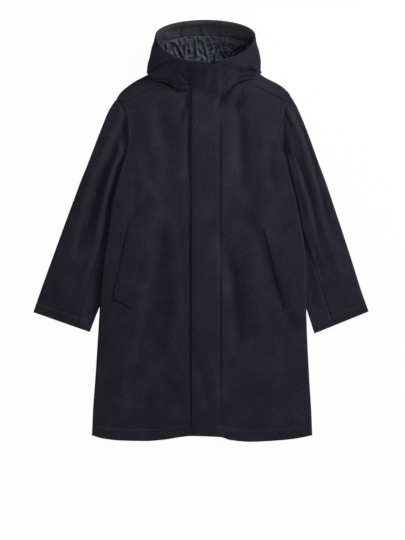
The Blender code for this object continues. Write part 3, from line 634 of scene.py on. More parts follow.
def turned_rows(depth_of_hem, step, length):
    """Rows by distance from a turned-up edge and depth under the cloth's outer side."""
    inside = np.linspace(depth_of_hem - 1, TURN + 2, 5)
    angles = np.radians(np.arange(180, -1, -22.5))
    outside = [3.4, 5, 8, 12, 17, 22, 25, 27, 28.2, 29.4, 31, 34]
    outside = [d + depth_of_hem - HEM_DEPTH if d > 20 else d for d in outside]
    rest = np.arange(outside[-1] + step, length, step)
    distance = np.concatenate([inside, TURN * (1 - np.sin(angles)), outside, rest])
    flat = np.zeros(len(outside) + len(rest))
    depth = np.concatenate([np.full(5, 2 * TURN), TURN * (1 - np.cos(angles)), flat])
    return distance, depth


def turned_relief(distance, depth_of_hem):
    """The doubled cloth stands a little higher, and its upper edge shows as a soft line."""
    raised = 2.2 * (1 - ease((distance - depth_of_hem + 1.5) / 2.8))
    return raised + groove(distance, depth_of_hem + 1.4, 1.8, 0.6)


def body_rows():
    last = LAST_BODY_Y - HEM_Y
    distance, depth = turned_rows(HEM_DEPTH, BODY_STEP, last - 3)
    distance, depth = np.append(distance, last), np.append(depth, 0)
    return HEM_Y + distance, distance, depth


NECK_SHARE = 0.625  # of the columns, those that end on the neck
SHOULDER_SPAN = 340.0
PARTS = stops(150, 42, far=SEAM_STOPS)[0][1:]  # shares of the way from the notch's row to the neck
SHOULDER_COLUMNS = 26
NECK_COLUMNS = 34
BACK_COLUMNS = 2 * SHOULDER_COLUMNS + NECK_COLUMNS
BACK_SHORTER = 3.0
BACK_SMOOTH = (HEM_Y + 8, 410)  # the creases fade out towards these
BACK_NECK_DROP = 0.6
BACK_ARMHOLE_END = 0.04
FRONT_COLUMNS = 40
PLACKET_STOPS = (0, 2, 4, 7, 11)  # the fronts' first columns beside the placket's edge
UNDER_PLACKET = {"right": (CENTRE_X, 13.0, 0.0, -13.0), "left": (CENTRE_X + SEAM, 40.0)}


def band_relief(distance):
    """A seam's allowance stitched down beside it: a flat raised band, and the row of stitching along it."""
    raised = 1 - ease((distance - ARMHOLE_STITCH) / 2.2)
    return raised + groove(distance, ARMHOLE_STITCH, STITCH_WIDTH, 0.5) + groove(distance, *ARMHOLE_GROOVE)


def armhole_line(side, end, parts=PARTS):
    """The armhole from the notch, where parts is 0, up to a share of its table."""
    return np.stack(place(ARMHOLE, side, mix(1.0, end, parts)), -1)


def front_points(side):
    """Rows from the hem to the neck and shoulder, each from the centre to the side."""
    fixed, inner = np.array(UNDER_PLACKET[side]), PLACKET_X[0 if side == "right" else -1]
    y, distance, depth = body_rows()
    side_x = crest_x(side, y)
    share = stops(abs(side_x - inner), FRONT_COLUMNS, near=PLACKET_STOPS, far=SEAM_STOPS)
    xs = np.hstack([np.broadcast_to(fixed, (len(y), len(fixed))), mix(inner, side_x[:, None], share)])
    ys = hem_y(xs, y[:, None])
    zs = front_height(side, xs, ys) + turned_relief(distance, HEM_DEPTH)[:, None] - depth[:, None]
    body = np.stack([xs, ys, zs], -1)

    top_share = stops(SHOULDER_SPAN, FRONT_COLUMNS, near=PLACKET_STOPS, far=SEAM_STOPS)[0]
    neck_x, _ = place(SHOULDER_SEAM, side, 1.0)
    on_neck = mix(inner, neck_x, np.minimum(top_share / NECK_SHARE, 1))
    on_seam = np.clip(1 - (top_share - NECK_SHARE) / (1 - NECK_SHARE), 0, 1)
    seam_x, seam_y = place(SHOULDER_SEAM, side, on_seam)
    top_x = np.where(top_share <= NECK_SHARE, on_neck, seam_x)
    top_y = np.where(top_share <= NECK_SHARE, neck_y(on_neck), seam_y)
    top = np.stack([np.append(fixed, top_x), np.append(neck_y(fixed), top_y)], -1)
    notch = body[-1, :, :2]
    part = PARTS[:, None]
    edge = armhole_line(side, 1 / (len(ARMHOLE) - 1))
    straight = mix(notch[-1], top[-1], part)
    pull = np.append(np.zeros(len(fixed)), top_share) ** 2
    plan = mix(notch[None], top[None], part[:, :, None])
    plan = plan + pull[None, :, None] * (edge - straight)[:, None, :]
    xs, ys = plan[..., 0], plan[..., 1]
    upper = np.stack([xs, ys, front_height(side, xs, ys)], -1)
    _, to_seam, _, to_armhole = edge_runs(np.vstack([body[-1:], upper]))
    to_seam, to_armhole = to_seam[1:], to_armhole[1:]
    upper[..., 2] += band_relief(to_armhole) * ease((ys - NOTCH_Y - 1) / 14)
    upper[..., 2] += groove(to_seam, *SHOULDER_GROOVE)
    return np.vstack([body, upper])


def side_wrap(side):
    """The front goes round the folded side to the side seam on the underside."""
    y, distance, depth = body_rows()
    y, distance, depth = y[:, None], distance[:, None], depth[:, None]
    crest = crest_x(side, y)
    at = hem_y(crest, y)
    top = front_height(side, crest, at) + turned_relief(distance, HEM_DEPTH)
    line, out, low = np.stack([crest, at], -1), np.array([sign(side), 0]), lift(side, crest, y)
    folded = fold_over(line, out, edge_radius(y), low, top, depth, np.arange(90, -91, -15))
    seam_x = crest - sign(side) * wrap(y) * np.array([[0.5, 1.0]])
    seam = np.stack([seam_x, np.broadcast_to(at, seam_x.shape)], -1)
    folded = np.hstack([folded, with_height(seam, lift(side, seam_x, y) + depth)])
    tip = folded[-1:].copy()
    tip[..., :2] = armhole_line(side, 1 / (len(ARMHOLE) - 1), PARTS[0])
    return np.vstack([folded, tip])


def shoulder_line(side, q):
    """At q from the armhole to the neck: the fold's outermost points, the way in and the seam."""
    outer = np.stack(place(SHOULDER, side, q), -1)
    seam = np.stack(place(SHOULDER_SEAM, side, q), -1)
    return outer, unit(seam - outer), seam


def back_top():
    """The back's upper edge on the underside, from the right armhole over the neck to the left one."""
    q = np.linspace(0, 1, SHOULDER_COLUMNS + 1)
    ends = []
    for side in SIDES:
        outer, way, _ = shoulder_line(side, q)
        ends.append(outer + way * EDGE_RADIUS)
    right, left = ends
    ring = RINGS[0]
    share = np.linspace(0, 1, NECK_COLUMNS + 1)[1:-1]
    x = mix(right[-1, 0], left[-1, 0], share)
    across = (x - ring.centre) / ring.half_width
    y = ring.side + (ring.back - ring.side) * np.sqrt(1 - across * across) - BACK_NECK_DROP
    neck = np.stack([x, np.minimum(y, mix(right[-1, 1], left[-1, 1], share))], -1)
    return np.vstack([right, neck, left[::-1]])


def back_height(x, y):
    """The back's underside: flat on the ground or on the sleeves, with a few shallow creases."""
    low = np.where(x < CENTRE_X, lift("right", x, y), lift("left", x, y))
    crease = sum(h * np.maximum(unevenness(x, y * part, size, seed), 0) for h, part, size, seed in BACK_WAVES)
    return low + crease * ease((y - BACK_SMOOTH[0]) / 60) * ease((BACK_SMOOTH[1] - y) / 60)


def back_points():
    y, distance, depth = body_rows()
    ends = []
    for side in SIDES:
        ends.append((crest_x(side, y) - sign(side) * (wrap(y) + SEAM))[:, None])
    share = np.linspace(0, 1, BACK_COLUMNS + 1)[None, :]
    xs = mix(ends[0], ends[1], share)
    short = BACK_SHORTER * ease(1 - distance / 40)
    ys = np.broadcast_to((y + short)[:, None], xs.shape)
    body = np.stack([xs, ys, back_height(xs, ys) + depth[:, None]], -1)
    notch, top = body[-1, :, :2], back_top()
    part = PARTS[:, None]
    plan = mix(notch[None], top[None], part[:, :, None])
    for side, end, fade in (("right", 0, (1 - share[0]) ** 3), ("left", -1, share[0] ** 3)):
        moved = (armhole_line(side, BACK_ARMHOLE_END) - mix(notch[end], top[end], part)) * (part < 1)
        plan = plan + fade[None, :, None] * moved[:, None, :]
    xs, ys = plan[..., 0], plan[..., 1]
    height = back_height(xs, ys)
    height[-1] = 0
    return np.vstack([body, np.stack([xs, ys, height], -1)])


def shoulder_strip(side):
    """The back goes over the shoulder's fold to the forward shoulder seam."""
    outer, way, seam = shoulder_line(side, np.linspace(0, 1, SHOULDER_COLUMNS + 1))
    crest = outer + way * EDGE_RADIUS
    top = front_height(side, crest[:, 0], crest[:, 1])[:, None]
    degrees = np.arange(-90, 91, 15)
    fold = fold_over(crest[:, None], -way[:, None], EDGE_RADIUS, 0, top, 0, degrees)
    near = seam - way * SEAM
    length = np.linalg.norm(near - crest, axis=-1)
    share = stops(length, 7, far=SEAM_STOPS[:5])[:, 1:, None]
    plan = mix(crest[:, None], near[:, None], share)
    strip = np.concatenate([fold, with_height(plan, front_height(side, plan[..., 0], plan[..., 1]))], 1)
    from_armhole, _, _, to_seam = edge_runs(strip)
    on_top = slice(len(degrees) - 1, None)
    strip[:, on_top, 2] += groove(to_seam, *SHOULDER_GROOVE)[:, on_top]
    faces_up = np.append(np.sin(np.radians(np.maximum(degrees, 0))), np.ones(share.shape[1]))
    strip[..., 2] += band_relief(from_armhole) * faces_up
    return strip


# ---- sleeves ----


def sleeve_line(side, k):
    return Sleeve(*[down_rows(OUTLINES[side], name, k) for name in Sleeve._fields])


def sleeve_place(side, k, s):
    """Places on the sleeve in the plane, s from 0 at the outer fold to 1 at the inner one."""
    line, first = sleeve_line(side, k), OUTLINES[side][0]
    seam_x, seam_y = place(ARMHOLE, side, s)
    bow_x = (seam_x - mix(first.outer_x, first.inner_x, s)) * line.bow
    bow_y = (seam_y - mix(first.outer_y, first.inner_y, s)) * line.bow
    x, y = mix(line.outer_x, line.inner_x, s) + bow_x, mix(line.outer_y, line.inner_y, s) + bow_y
    return np.stack([x, y], -1)


def sleeve_height(side, k, s, x, y):
    """The height of the sleeve's top side."""
    share = 1 - np.minimum(s / FLAT_FROM, 1.0) ** 4
    crown = mix(SLEEVE_EDGE[side], SLEEVE_LOFT, ease(s / SLEEVE_RISE))
    flat = mix(FLAT_SLEEVE, CUFF_FLAT, ease((k - CUFF_ROW + 0.9) / 0.7))
    own = mix(flat, crown, share) * mix(1.0, sleeve_line(side, k).height, share)
    own += SLEEVE_SLOPE * s * ease(s / SLOPE_FROM[side]) * ease((SLOPE_END[0] - k) / SLOPE_END[1])
    own += straight_fold(SOLID_SLEEVE_FOLDS[side], x, y) * 0.5 * ease((1 - s) / FOLD_FADE)

    beside = (x - outline_x(side, np.minimum(y, NOTCH_Y))) * sign(side)
    wider = ease((VALLEY_WIDER_FROM[0] - y) / VALLEY_WIDER_FROM[1])
    start, length = [valley + more * wider for valley, more in zip(VALLEY[side], VALLEY_WIDER)]
    low = 1 - ease((beside - start) / length)
    low = low * ease((y - VALLEY_LOW_Y) / VALLEY_LOW_RAMP) * ease((NOTCH_Y - y) / VALLEY_TOP_RAMP + 1)
    own = mix(own, FLAT_SLEEVE, low)

    fine = crease_height(SLEEVE_CREASES[side], x, y)
    fine += waves(x, y, SLEEVE_WAVES)
    inside = ease((beside - 2) / 10) + ease((y - NOTCH_Y + 12) / 12)
    raised = fine * ease((CUFF_ROW - k) / 0.8) * ease((1 - s) / 0.05) * np.minimum(inside, 1)
    at_armhole = read(LOFT, "y", "side", place(ARMHOLE, side, s)[1])
    return np.maximum(mix(at_armhole, own, ease(k / 2)) + raised * ease(k / 0.5), THINNEST)


def sleeve_points(side, name):
    """Rows from inside the cuff to the armhole, each round a part of the tube."""
    steps = np.linspace(CUFF_ROW, ARMHOLE_START, 400)
    along = run(sleeve_place(side, steps, 0.5)[:, None], 0)[:, 0]
    distance, depth = turned_rows(CUFF_DEPTH, SLEEVE_STEP, along[-1] - 12)
    tail = along[-1] - np.array(SEAM_STOPS[::-1])
    distance = np.concatenate([distance, tail, np.full(len(ALLOWANCE), along[-1])])[:, None]
    depth = np.concatenate([depth, np.zeros(len(tail)), ALLOWANCE[:, 1]])[:, None]
    k = np.interp(distance, along, steps)
    line = sleeve_line(side, k)
    ends = sleeve_place(side, k, 0) - sleeve_place(side, k, 1)
    length = np.linalg.norm(ends, axis=-1)
    start, stop = SLEEVE_EDGE_RADIUS / length, 1 - NOTCH_RADIUS / length
    seam = np.minimum(line.seam, stop - 2.4 / length)
    gap = SEAM / 2 / length
    relief = turned_relief(distance, CUFF_DEPTH)

    def top(s):
        p = sleeve_place(side, k, s)
        return with_height(p, sleeve_height(side, k, s, p[..., 0], p[..., 1]) + relief - depth)

    def low(s):
        return with_height(sleeve_place(side, k, s), depth)

    def turn(s, end, radius, degrees):
        crest = sleeve_place(side, k, s)
        out = unit(sleeve_place(side, k, end) - crest)
        high = sleeve_height(side, k, s, crest[..., 0], crest[..., 1]) + relief
        return fold_over(crest, out, radius, 0, high, depth, degrees)

    def between(a, b, count, near=(0,), far=(0,)):
        share = stops(np.abs(b - a)[:, 0] * length[:, 0], count, near, far)
        return mix(a, b, share)

    if name == "top":
        under = low(between(UNDER_SEAM - gap, start, 7, near=(0, 1, 2.5)))[:, :-1]
        grid = [under, turn(start, 0.0, SLEEVE_EDGE_RADIUS, np.arange(-90, 90, 15))]
        grid.append(top(between(start, seam - gap, 22, far=(0, 0.7, 1.5, 2.6, 4))))
    else:
        grid = [top(between(seam + gap, stop, 8, near=(0, 0.7, 1.5)))]
        grid.append(turn(stop, 1.0, NOTCH_RADIUS, np.arange(75, -76, -15)))
        grid.append(low(between(stop, UNDER_SEAM + gap, 16, far=(0, 1, 2.5))))
    points = np.hstack(grid)
    last = -len(ALLOWANCE) - 1
    onward = unit((points[last] - points[last - 6]) * (1, 1, 0))
    points[last + 1 :] += onward[None] * ALLOWANCE[:, 0, None, None]
    to_armhole = along[-1] - distance
    _, _, from_start, to_end = edge_runs(points)
    at_seam = to_end if name == "top" else from_start
    up = -sign(side) * normals(points)
    sewn = groove(at_seam, *SLEEVE_SEAM_GROOVE) * ease((distance - 1) / 8)
    sewn = sewn + groove(to_armhole, *SLEEVE_HEAD_GROOVE)
    sewn = np.where(depth > 0, 0, sewn)
    points = points + up * sewn[..., None]
    points[..., 2] = np.maximum(points[..., 2], 0)
    return faced(points, side)


# ---- hood ----


def ring_points(ring, theta):
    front, back = np.maximum(np.cos(theta), 0), np.maximum(-np.cos(theta), 0)
    x = ring.centre + ring.half_width * np.sin(theta)
    y = ring.side - (ring.side - ring.front) * front**ring.power + (ring.back - ring.side) * back
    z_front = ring.side_z + (ring.front_z - ring.side_z) * front
    z_back = ring.back_z + (ring.side_z - ring.back_z) * (1 - back) ** ring.drop
    return np.stack([x, y, np.where(front > 0, z_front, z_back)], -1)


def across_rings(values, w):
    """A smooth curve through the rings' own values, read at w."""
    tangent = tangents(np.diff(values, axis=0))
    w = np.clip(w, 0, len(values) - 1)
    i = np.clip(np.floor(w).astype(int), 0, len(values) - 2)
    t = (w - i)[..., None]
    i = i[None, ..., None]

    def at(rows, index):
        return np.take_along_axis(rows, index, 0)[0]

    return cubic(at(values, i), at(values, i + 1), at(tangent, i), at(tangent, i + 1), t)


def within(angle, start, start_ramp, end, end_ramp):
    """1 between two angles, in degrees, and 0 outside them."""
    rising = ease((angle - math.radians(start)) / math.radians(start_ramp))
    return rising * ease((math.radians(end) - angle) / math.radians(end_ramp))


def from_front(theta):
    """The angle from the middle of the hood's front, below zero on the right."""
    return (theta + math.pi) % (2 * math.pi) - math.pi


def hood_surface(w, theta):
    """Points on the hood's outer side before its folds, w from 0 at the neck seam to 5 at the rim."""
    w, theta = together(w, theta)
    rings = np.array([ring_points(r, theta) for r in RINGS])
    for n, share in enumerate(NECK_PULLS):
        rings[n, ..., 1] += share * neck_pull(rings[n, ..., 0]) * (np.cos(theta) > 0)
    x, y = rings[0, ..., 0], rings[0, ..., 1]
    turned = np.abs(from_front(theta))
    ground = np.where(x < CENTRE_X, front_height("right", x, y), front_height("left", x, y))
    at_fold = ease((turned - NECK_FOLD[0]) / NECK_FOLD[1])
    on_front = mix(ground, RINGS[0].side_z, at_fold) + SEAM
    rings[0, ..., 2] = np.where(np.cos(theta) > 0, on_front, rings[0, ..., 2])
    rings[1, ..., 1] -= ROLL * bell(turned, ROLL_ANGLE, ROLL_WIDTH)
    p = across_rings(rings, w)
    p[..., 1] += SEAM * (1 - np.minimum(w, 1))
    p[..., 1] -= OVERHANG * within(turned, *OVERHANG_ANGLES) * bell(w, *OVERHANG_LEVEL)
    p[..., 2] = np.maximum(p[..., 2], 0)
    return p


def hood_frame(w, theta):
    """A point on the hood, its outward direction and its direction towards the rim."""
    step = 0.01
    p = hood_surface(w, theta)
    round_it = hood_surface(w, theta + step) - hood_surface(w, theta - step)
    up_it = hood_surface(np.minimum(w + step, 5), theta) - hood_surface(np.maximum(w - step, 0), theta)
    return p, unit(np.cross(round_it, up_it)), unit(up_it)


def hood_relief(w, theta, p):
    """The hood's folds and its roll over the neck seam."""
    x, y, z = p[..., 0], p[..., 1], p[..., 2]
    turned = from_front(theta)
    size = np.where(turned < 0, ROLL_SIZE["right"], ROLL_SIZE["left"])
    relief = size * within(np.abs(turned), *ROLL_ANGLES) * bell(w, *ROLL_LEVEL)
    relief = relief + groove(w, *NECK_GROOVE) * ease(np.cos(theta) / 0.3)
    fade = ease((np.cos(theta) + 0.05) / 0.3) * ease((CREASES_END - w) / 0.5)
    relief = relief + crease_height(HOOD_CREASES, x, y) * fade
    swell = unevenness(x + 3 * z, y, 46, 13.7) * 1.6 + unevenness(x + 2 * z, y, 19, 4.4) * 0.6
    return relief + swell * ease(w / 0.5) * ease((SWELL_END - w) / 0.8)


def hood_dent(w, theta, p):
    """How far the cloth inside the hood keeps clear of the shell's folds."""
    return -np.minimum(hood_relief(w, theta, p), 0) * ease((np.cos(theta) + 0.3) / 0.3)


def angle_at(w, x):
    """The angle at which the hood's front passes under a given x."""
    return np.arcsin((x - down_rows(RINGS, "centre", w)) / down_rows(RINGS, "half_width", w))


HOOD_GAP = SEAM / 2 / RINGS[-1].half_width
SEWN_EDGE = (0, 0.8, 1.8, 3.2)  # the wool pieces' first columns beside their seams


def hood_angles(piece, w, seams, count, near=(0,), far=(0,)):
    """Angles across a hood piece: right side, centre or left side. seams are its angles from the back."""
    right_seam, left_seam = -math.pi + seams[0], math.pi - seams[1]
    span = RINGS[2].half_width
    if piece == "centre":
        length = (2 * math.pi + right_seam - left_seam) * span
        share = stops(length, count, near, near)[0]
        return mix(left_seam + HOOD_GAP, 2 * math.pi + right_seam - HOOD_GAP, share) + 0 * w
    share = stops(2.9 * span, count, near, far)[0]
    if piece == "right":
        end = angle_at(w, PLACKET_X[0])
        angles = mix(right_seam + HOOD_GAP, end, share)
        return np.hstack([angles, angle_at(w, np.array([[0.0, CENTRE_X]]))])
    end = angle_at(w, PLACKET_X[-1])
    angles = mix(left_seam - HOOD_GAP, end, share)
    return np.hstack([angle_at(w, np.array([[CENTRE_X + SEAM]])), angles[:, ::-1]])


def hood_grid(piece, seams, count, low, near, far):
    """A wool piece's levels and angles, and each point's distances from the rim and its lower edge."""
    columns = SHELL_COLUMNS[piece]
    steps = np.linspace(low, 5, 61)[:, None]
    along = run(hood_surface(steps, hood_angles(piece, steps, seams, columns, SEWN_EDGE)), 0)
    share = stops(along[-1], count, near, far).T
    levels, theta = np.empty(share.shape), np.empty(share.shape)
    for c in range(share.shape[1]):
        levels[:, c] = np.interp(share[:, c] * along[-1, c], along[:, c], steps[:, 0])
    for r in range(len(levels)):
        theta[r] = np.diagonal(hood_angles(piece, levels[r][:, None], seams, columns, SEWN_EDGE))
    return levels, theta, (1 - share) * along[-1], share * along[-1]


def sewn_edges(piece, p):
    """Distance from the seams at the back of a hood piece."""
    _, _, from_start, to_end = edge_runs(p)
    if piece == "centre":
        return np.minimum(from_start, to_end)
    return from_start if piece == "right" else to_end


def round_rim(p, out, up, way):
    """Adds the rows that go over the rim: inwards from the shell (-1), or outwards from the facing (1)."""
    last = len(p) - 1
    for a in RIM_TURN:
        over = way * out[-1] * (1 - math.cos(a)) + up[-1] * math.sin(a)
        p = np.vstack([p, p[[last]] + RIM_RADIUS * over])
    return p


def hood_shell(piece):
    """The hood's outer cloth, rounded over at the rim."""
    at_rim = (RIM_RADIUS, 4.2, 5.4, 6.4, 7.4, 9, 12)
    levels, theta, to_rim, _ = hood_grid(piece, GUSSET, 44, 0, (0, 0.8, 1.8, 3, 5), at_rim)
    p, out, up = hood_frame(levels, theta)
    relief = hood_relief(levels, theta, p) + groove(to_rim, *RIM_GROOVE)
    relief = relief + groove(sewn_edges(piece, p), *HOOD_SEAM_GROOVE)
    p = p + out * relief[..., None]
    p[..., 2] = np.maximum(p[..., 2], 0)
    return round_rim(p, out, up, -1)


def hood_facing(piece):
    """The wool facing inside the rim. Its stitched band follows the rim's edge."""
    at_rim = (RIM_RADIUS, 4.5, 6.5, 9, 11.5, 13.5, 14.5, 15.5, 16.5, 17.5, 18.7)
    at_low = (0, 0.7, 1.6, 3)
    levels, theta, to_rim, from_low = hood_grid(piece, FACING_SEAMS, 14, FACING_FROM, at_low, at_rim)
    p, out, up = hood_frame(levels, theta)
    x, y = p[..., 0], p[..., 1]
    relief = 2.2 * (1 - ease((to_rim - RIM_BAND + 3) / 3)) * ease((to_rim - 2) / 4)
    relief = relief + groove(to_rim, *FACING_BAND_GROOVE) + groove(from_low, *FACING_LOW_GROOVE)
    relief = relief + groove(sewn_edges(piece, p), *FACING_SEAM_GROOVE)
    relief = relief + crease_height(FACING_CREASES, x, y)
    relief = relief + waves(x, y, FACING_WAVES) * ease((to_rim - RIM_RADIUS) / 6)
    relief = relief + hood_dent(levels, theta, p)
    p = p - out * (2 * RIM_RADIUS + relief)[..., None]
    return round_rim(p, out, up, 1)[:, ::-1]


def hood_lining(piece):
    """The satin lining, gathered into its seams and wrinkled between them."""
    steps = np.linspace(LINING_FROM, FACING_FROM - 0.02, 52)[:, None]
    theta = hood_angles(piece, steps, LINING_SEAMS, LINING_COLUMNS[piece], (0, 0.8, 1.6))
    levels = np.broadcast_to(steps, theta.shape)
    p, out, _ = hood_frame(levels, theta)
    _, to_facing, _, _ = edge_runs(p)
    beside = sewn_edges(piece, p)
    round_it = LINING_RADIUS * theta
    # gathers that run out from the facing's seam and from the side seams
    phase = 2.2 * unevenness(round_it, to_facing, 42, 1.9)
    size = np.maximum(0.6 + 0.9 * unevenness(round_it, to_facing, 24, 17.0), 0)
    relief = 1.6 * np.exp(-to_facing / 16) * size * np.sin(2 * math.pi * round_it / 15 + 2 * phase)
    relief += 2.4 * np.exp(-beside / 8) * size * np.sin(2 * math.pi * to_facing / 7.5 + phase)
    # steep and slanting wrinkles between them, sharp where the noise crosses zero
    across = round_it + 0.3 * to_facing + 7 * unevenness(round_it, to_facing, 34, 51.0)
    steep = 1 - 5.2 * np.abs(unevenness(across, 0.35 * to_facing, 15, 23.0))
    upward = 0.5 * to_facing + 0.3 * round_it
    slanting = 1 - 5.0 * np.abs(unevenness(across - 1.1 * to_facing, upward, 19, 31.0))
    relief += 3.2 * np.maximum(steep, -0.5) * ease(to_facing / 9)
    relief += 2.4 * np.maximum(slanting, -0.5) * ease(to_facing / 12)
    relief *= ease((to_facing + 1) / 5)
    depth = LINING_DEPTH + 0.6 * ease(to_facing / 20) + np.clip(relief, *LINING_RELIEF)
    depth = depth + hood_dent(levels, theta, p)
    depth = depth + groove(beside, *LINING_SEAM_GROOVE) + groove(to_facing, *LINING_TOP_GROOVE)
    # the front of the bag hangs clear of the shell
    depth = depth + 9 * ease((np.cos(theta) + 0.45) / 0.45) * ease((2.5 - steps) / 0.8)
    return (p - out * depth[..., None])[:, ::-1]


# ---- strips that lie on the panels ----


def placket_path(x):
    """A line up the coat's front and the hood's front at one x, from the hem to the rim."""
    y = np.linspace(HEM_Y, neck_y(x) - 5, FRONT_STEPS)
    side = "right" if x < CENTRE_X else "left"
    at = hem_y(x, y)
    front = np.stack([np.full(len(y), x), at, front_height(side, x, at)], -1)
    w = np.linspace(ROLL_LEVEL[0], PLACKET_TOP, 40)
    theta = angle_at(w, x)
    p, out, _ = hood_frame(w, theta)
    path = np.vstack([front, p + out * hood_relief(w, theta, p)[:, None]])
    a, b = FRONT_STEPS - 10, FRONT_STEPS + 25  # the rows that are smoothed, where the placket bends up
    for _ in range(14):
        path[a:b] = (path[a - 1 : b - 1] + 2 * path[a:b] + path[a + 1 : b + 1]) / 4
    return path


def placket_points():
    """The placket covers both fronts' edges and goes up the hood's front to its rim."""
    width = PLACKET_X[-1] - PLACKET_X[0]
    near = (0, 0.5, 1.1, 1.9, 3, 4, 4.7, 5.4, 6.6)
    far = (0, 0.5, 1.1, 1.9, 3, 4.5, 6.4, 7.4, 8.4, 9.8)
    columns = mix(PLACKET_X[0], PLACKET_X[-1], stops(width, 12, near, far)[0])
    ends = (0, 0.6, 1.3, 2.2, 3.4, 5)
    rows = []
    for x in columns:
        path = placket_path(float(x))
        along = run(path[:, None], 0)[:, 0]
        share = stops(along[-1], 215, ends, ends)[0] * along[-1]
        rows.append(np.stack([np.interp(share, along, path[:, c]) for c in range(3)], -1))
    points = np.stack(rows, 1)
    low, high, left, right = edge_runs(points)
    relief = groove(np.minimum(left, low), 0, 0.9, 1.3) + groove(high, 0, 0.8, 0.8)
    relief += groove(right, 0, 0.6, 0.6)
    relief -= 1.4 * ease(1 - right / 9) + 1.3 * ease(1 - left / 8)
    relief += groove(left, PLACKET_EDGE, STITCH_WIDTH, 0.55) + groove(right, PLACKET_SEWN, STITCH_WIDTH, 0.8)
    relief += groove(low, HEM_DEPTH, 1.4, 0.35) + groove(high, PLACKET_END, STITCH_WIDTH, 0.4)
    wave = waves(left * 0, low, PLACKET_WAVES)
    relief += np.maximum(wave, -0.2) * 1.5 * (1 - ease(left / 26)) * ease(low / 60)
    relief += 0.5 * unevenness(left, low, 30, 6.6)
    return points + normals(points) * (LAID_ON + BAND + relief)[..., None]


def welt_points(side):
    """A pocket welt: open along its outer long edge, and sewn along the inner one and the ends."""
    outer_top, inner_top, outer_low, inner_low = [np.array(c) for c in WELTS[side]]
    ends = (0, 0.5, 1.1, 1.7, 2.4, 3.2, 4.2, 5.0, 5.9)
    v = stops(WELT_SIZE[1], 36, ends, ends)[0][:, None, None]
    u = stops(WELT_SIZE[0], 7, ends, ends)[0][None, :, None]
    plan = mix(mix(outer_low, outer_top, v), mix(inner_low, inner_top, v), u)
    points = with_height(plan, front_height(side, plan[..., 0], plan[..., 1]))
    low, high, outer, inner = edge_runs(points)
    edge = np.minimum(np.minimum(low, high), np.minimum(outer, inner))
    pressed = np.minimum(high, inner if side == "right" else outer)
    relief = groove(edge, 1.7, 0.75, 1.3) + groove(pressed, 1.8, 1.25, 2.0) + groove(edge, 5.4, 0.9, 0.5)
    relief -= 0.5 * ease((1.6 - edge) / 1.2) + 0.9 * ease(1 - edge / 5)
    relief += np.maximum(unevenness(low, outer, 60, 14.0 + sign(side)), -0.1) * 1.6 * (1 - ease(outer / 22))
    relief += 0.4 * unevenness(low, outer, 26, 3.3)
    points = points - sign(side) * normals(points) * (WELT_LAID_ON + WELT_BAND + relief)[..., None]
    return faced(points, side)


# ---- materials ----


class Nodes:
    """A material's node tree, with short calls to add to it."""

    def __init__(self, name):
        self.made = bpy.data.materials.new(name)
        self.made.use_nodes = True
        self.tree = self.made.node_tree
        self.shader = self.tree.nodes["Principled BSDF"]
        self.place = self.tree.nodes.new("ShaderNodeTexCoord").outputs["Object"]

    def add(self, kind, links=(), **settings):
        node = self.tree.nodes.new("ShaderNode" + kind)
        for key, value in settings.items():
            if hasattr(node, key) and not key[0].isupper():
                setattr(node, key, value)
            else:
                node.inputs[key.replace("_", " ")].default_value = value
        for socket, source in dict(links).items():
            self.tree.links.new(source, node.inputs[socket])
        return node

    def noise(self, scale, detail=2.0, roughness=0.5, place=None):
        at = {"Vector": place or self.place}
        return self.add("TexNoise", at, Scale=scale, Detail=detail, Roughness=roughness).outputs["Fac"]

    def fibres(self, x, y, z, detail, roughness):
        """Noise drawn out along an axis."""
        place = self.add("Mapping", {"Vector": self.place}, Scale=(x, y, z)).outputs["Vector"]
        return self.noise(1.0, detail, roughness, place)

    def between(self, value, low, high, to_low, to_high):
        node = self.add("MapRange", {"Value": value})
        for key, number in (("From Min", low), ("From Max", high), ("To Min", to_low), ("To Max", to_high)):
            node.inputs[key].default_value = number
        return node.outputs["Result"]

    def sum(self, a, b, share):
        node = self.add("Math", {0: b, 2: a}, operation="MULTIPLY_ADD")
        node.inputs[1].default_value = share
        return node.outputs["Value"]

    def ramp(self, value, colours):
        node = self.add("ValToRGB", {"Fac": value})
        elements = node.color_ramp.elements
        while len(elements) < len(colours):
            elements.new(0.5)
        for element, (at, colour) in zip(elements, colours):
            element.position = at
            element.color = (*colour, 1)
        return node.outputs["Color"]

    def bump(self, height, distance, strength=1.0, under=None):
        links = {"Height": height} if under is None else {"Height": height, "Normal": under}
        return self.add("Bump", links, Distance=distance, Strength=strength).outputs["Normal"]

    def link(self, source, socket):
        self.tree.links.new(source, self.shader.inputs[socket])

    def set(self, **values):
        for key, value in values.items():
            self.shader.inputs[key.replace("_", " ")].default_value = value


def melton(name, dark, middle, pale):
    """Milled wool: short matted fibres, a faint mottle and slow changes where the nap lies differently."""
    n = Nodes(name)
    clumps = n.noise(290, 3, 0.62)
    fibres = n.fibres(900, 2300, 900, 2, 0.6)
    crossed = n.fibres(2100, 760, 2100, 2, 0.6)
    nap = n.noise(17, 2, 0.5)
    mottle = n.sum(n.sum(clumps, fibres, 0.35), crossed, 0.35)
    mottle = n.sum(mottle, nap, 0.35)
    tone = n.between(mottle, 0.72, 1.33, 0, 1)
    n.link(n.ramp(tone, [(0.0, dark), (0.5, middle), (1.0, pale)]), "Base Color")
    n.link(n.between(clumps, 0.3, 0.7, 0.84, 0.96), "Roughness")
    rough = n.bump(n.sum(clumps, nap, 0.3), 0.0011, 0.55)
    n.link(n.bump(n.sum(fibres, crossed, 1.0), 0.0004, 0.6, rough), "Normal")
    n.set(Sheen_Weight=0.06, Sheen_Roughness=0.5, Sheen_Tint=(0.72, 0.72, 0.9, 1), Specular_IOR_Level=0.12)
    return n.made


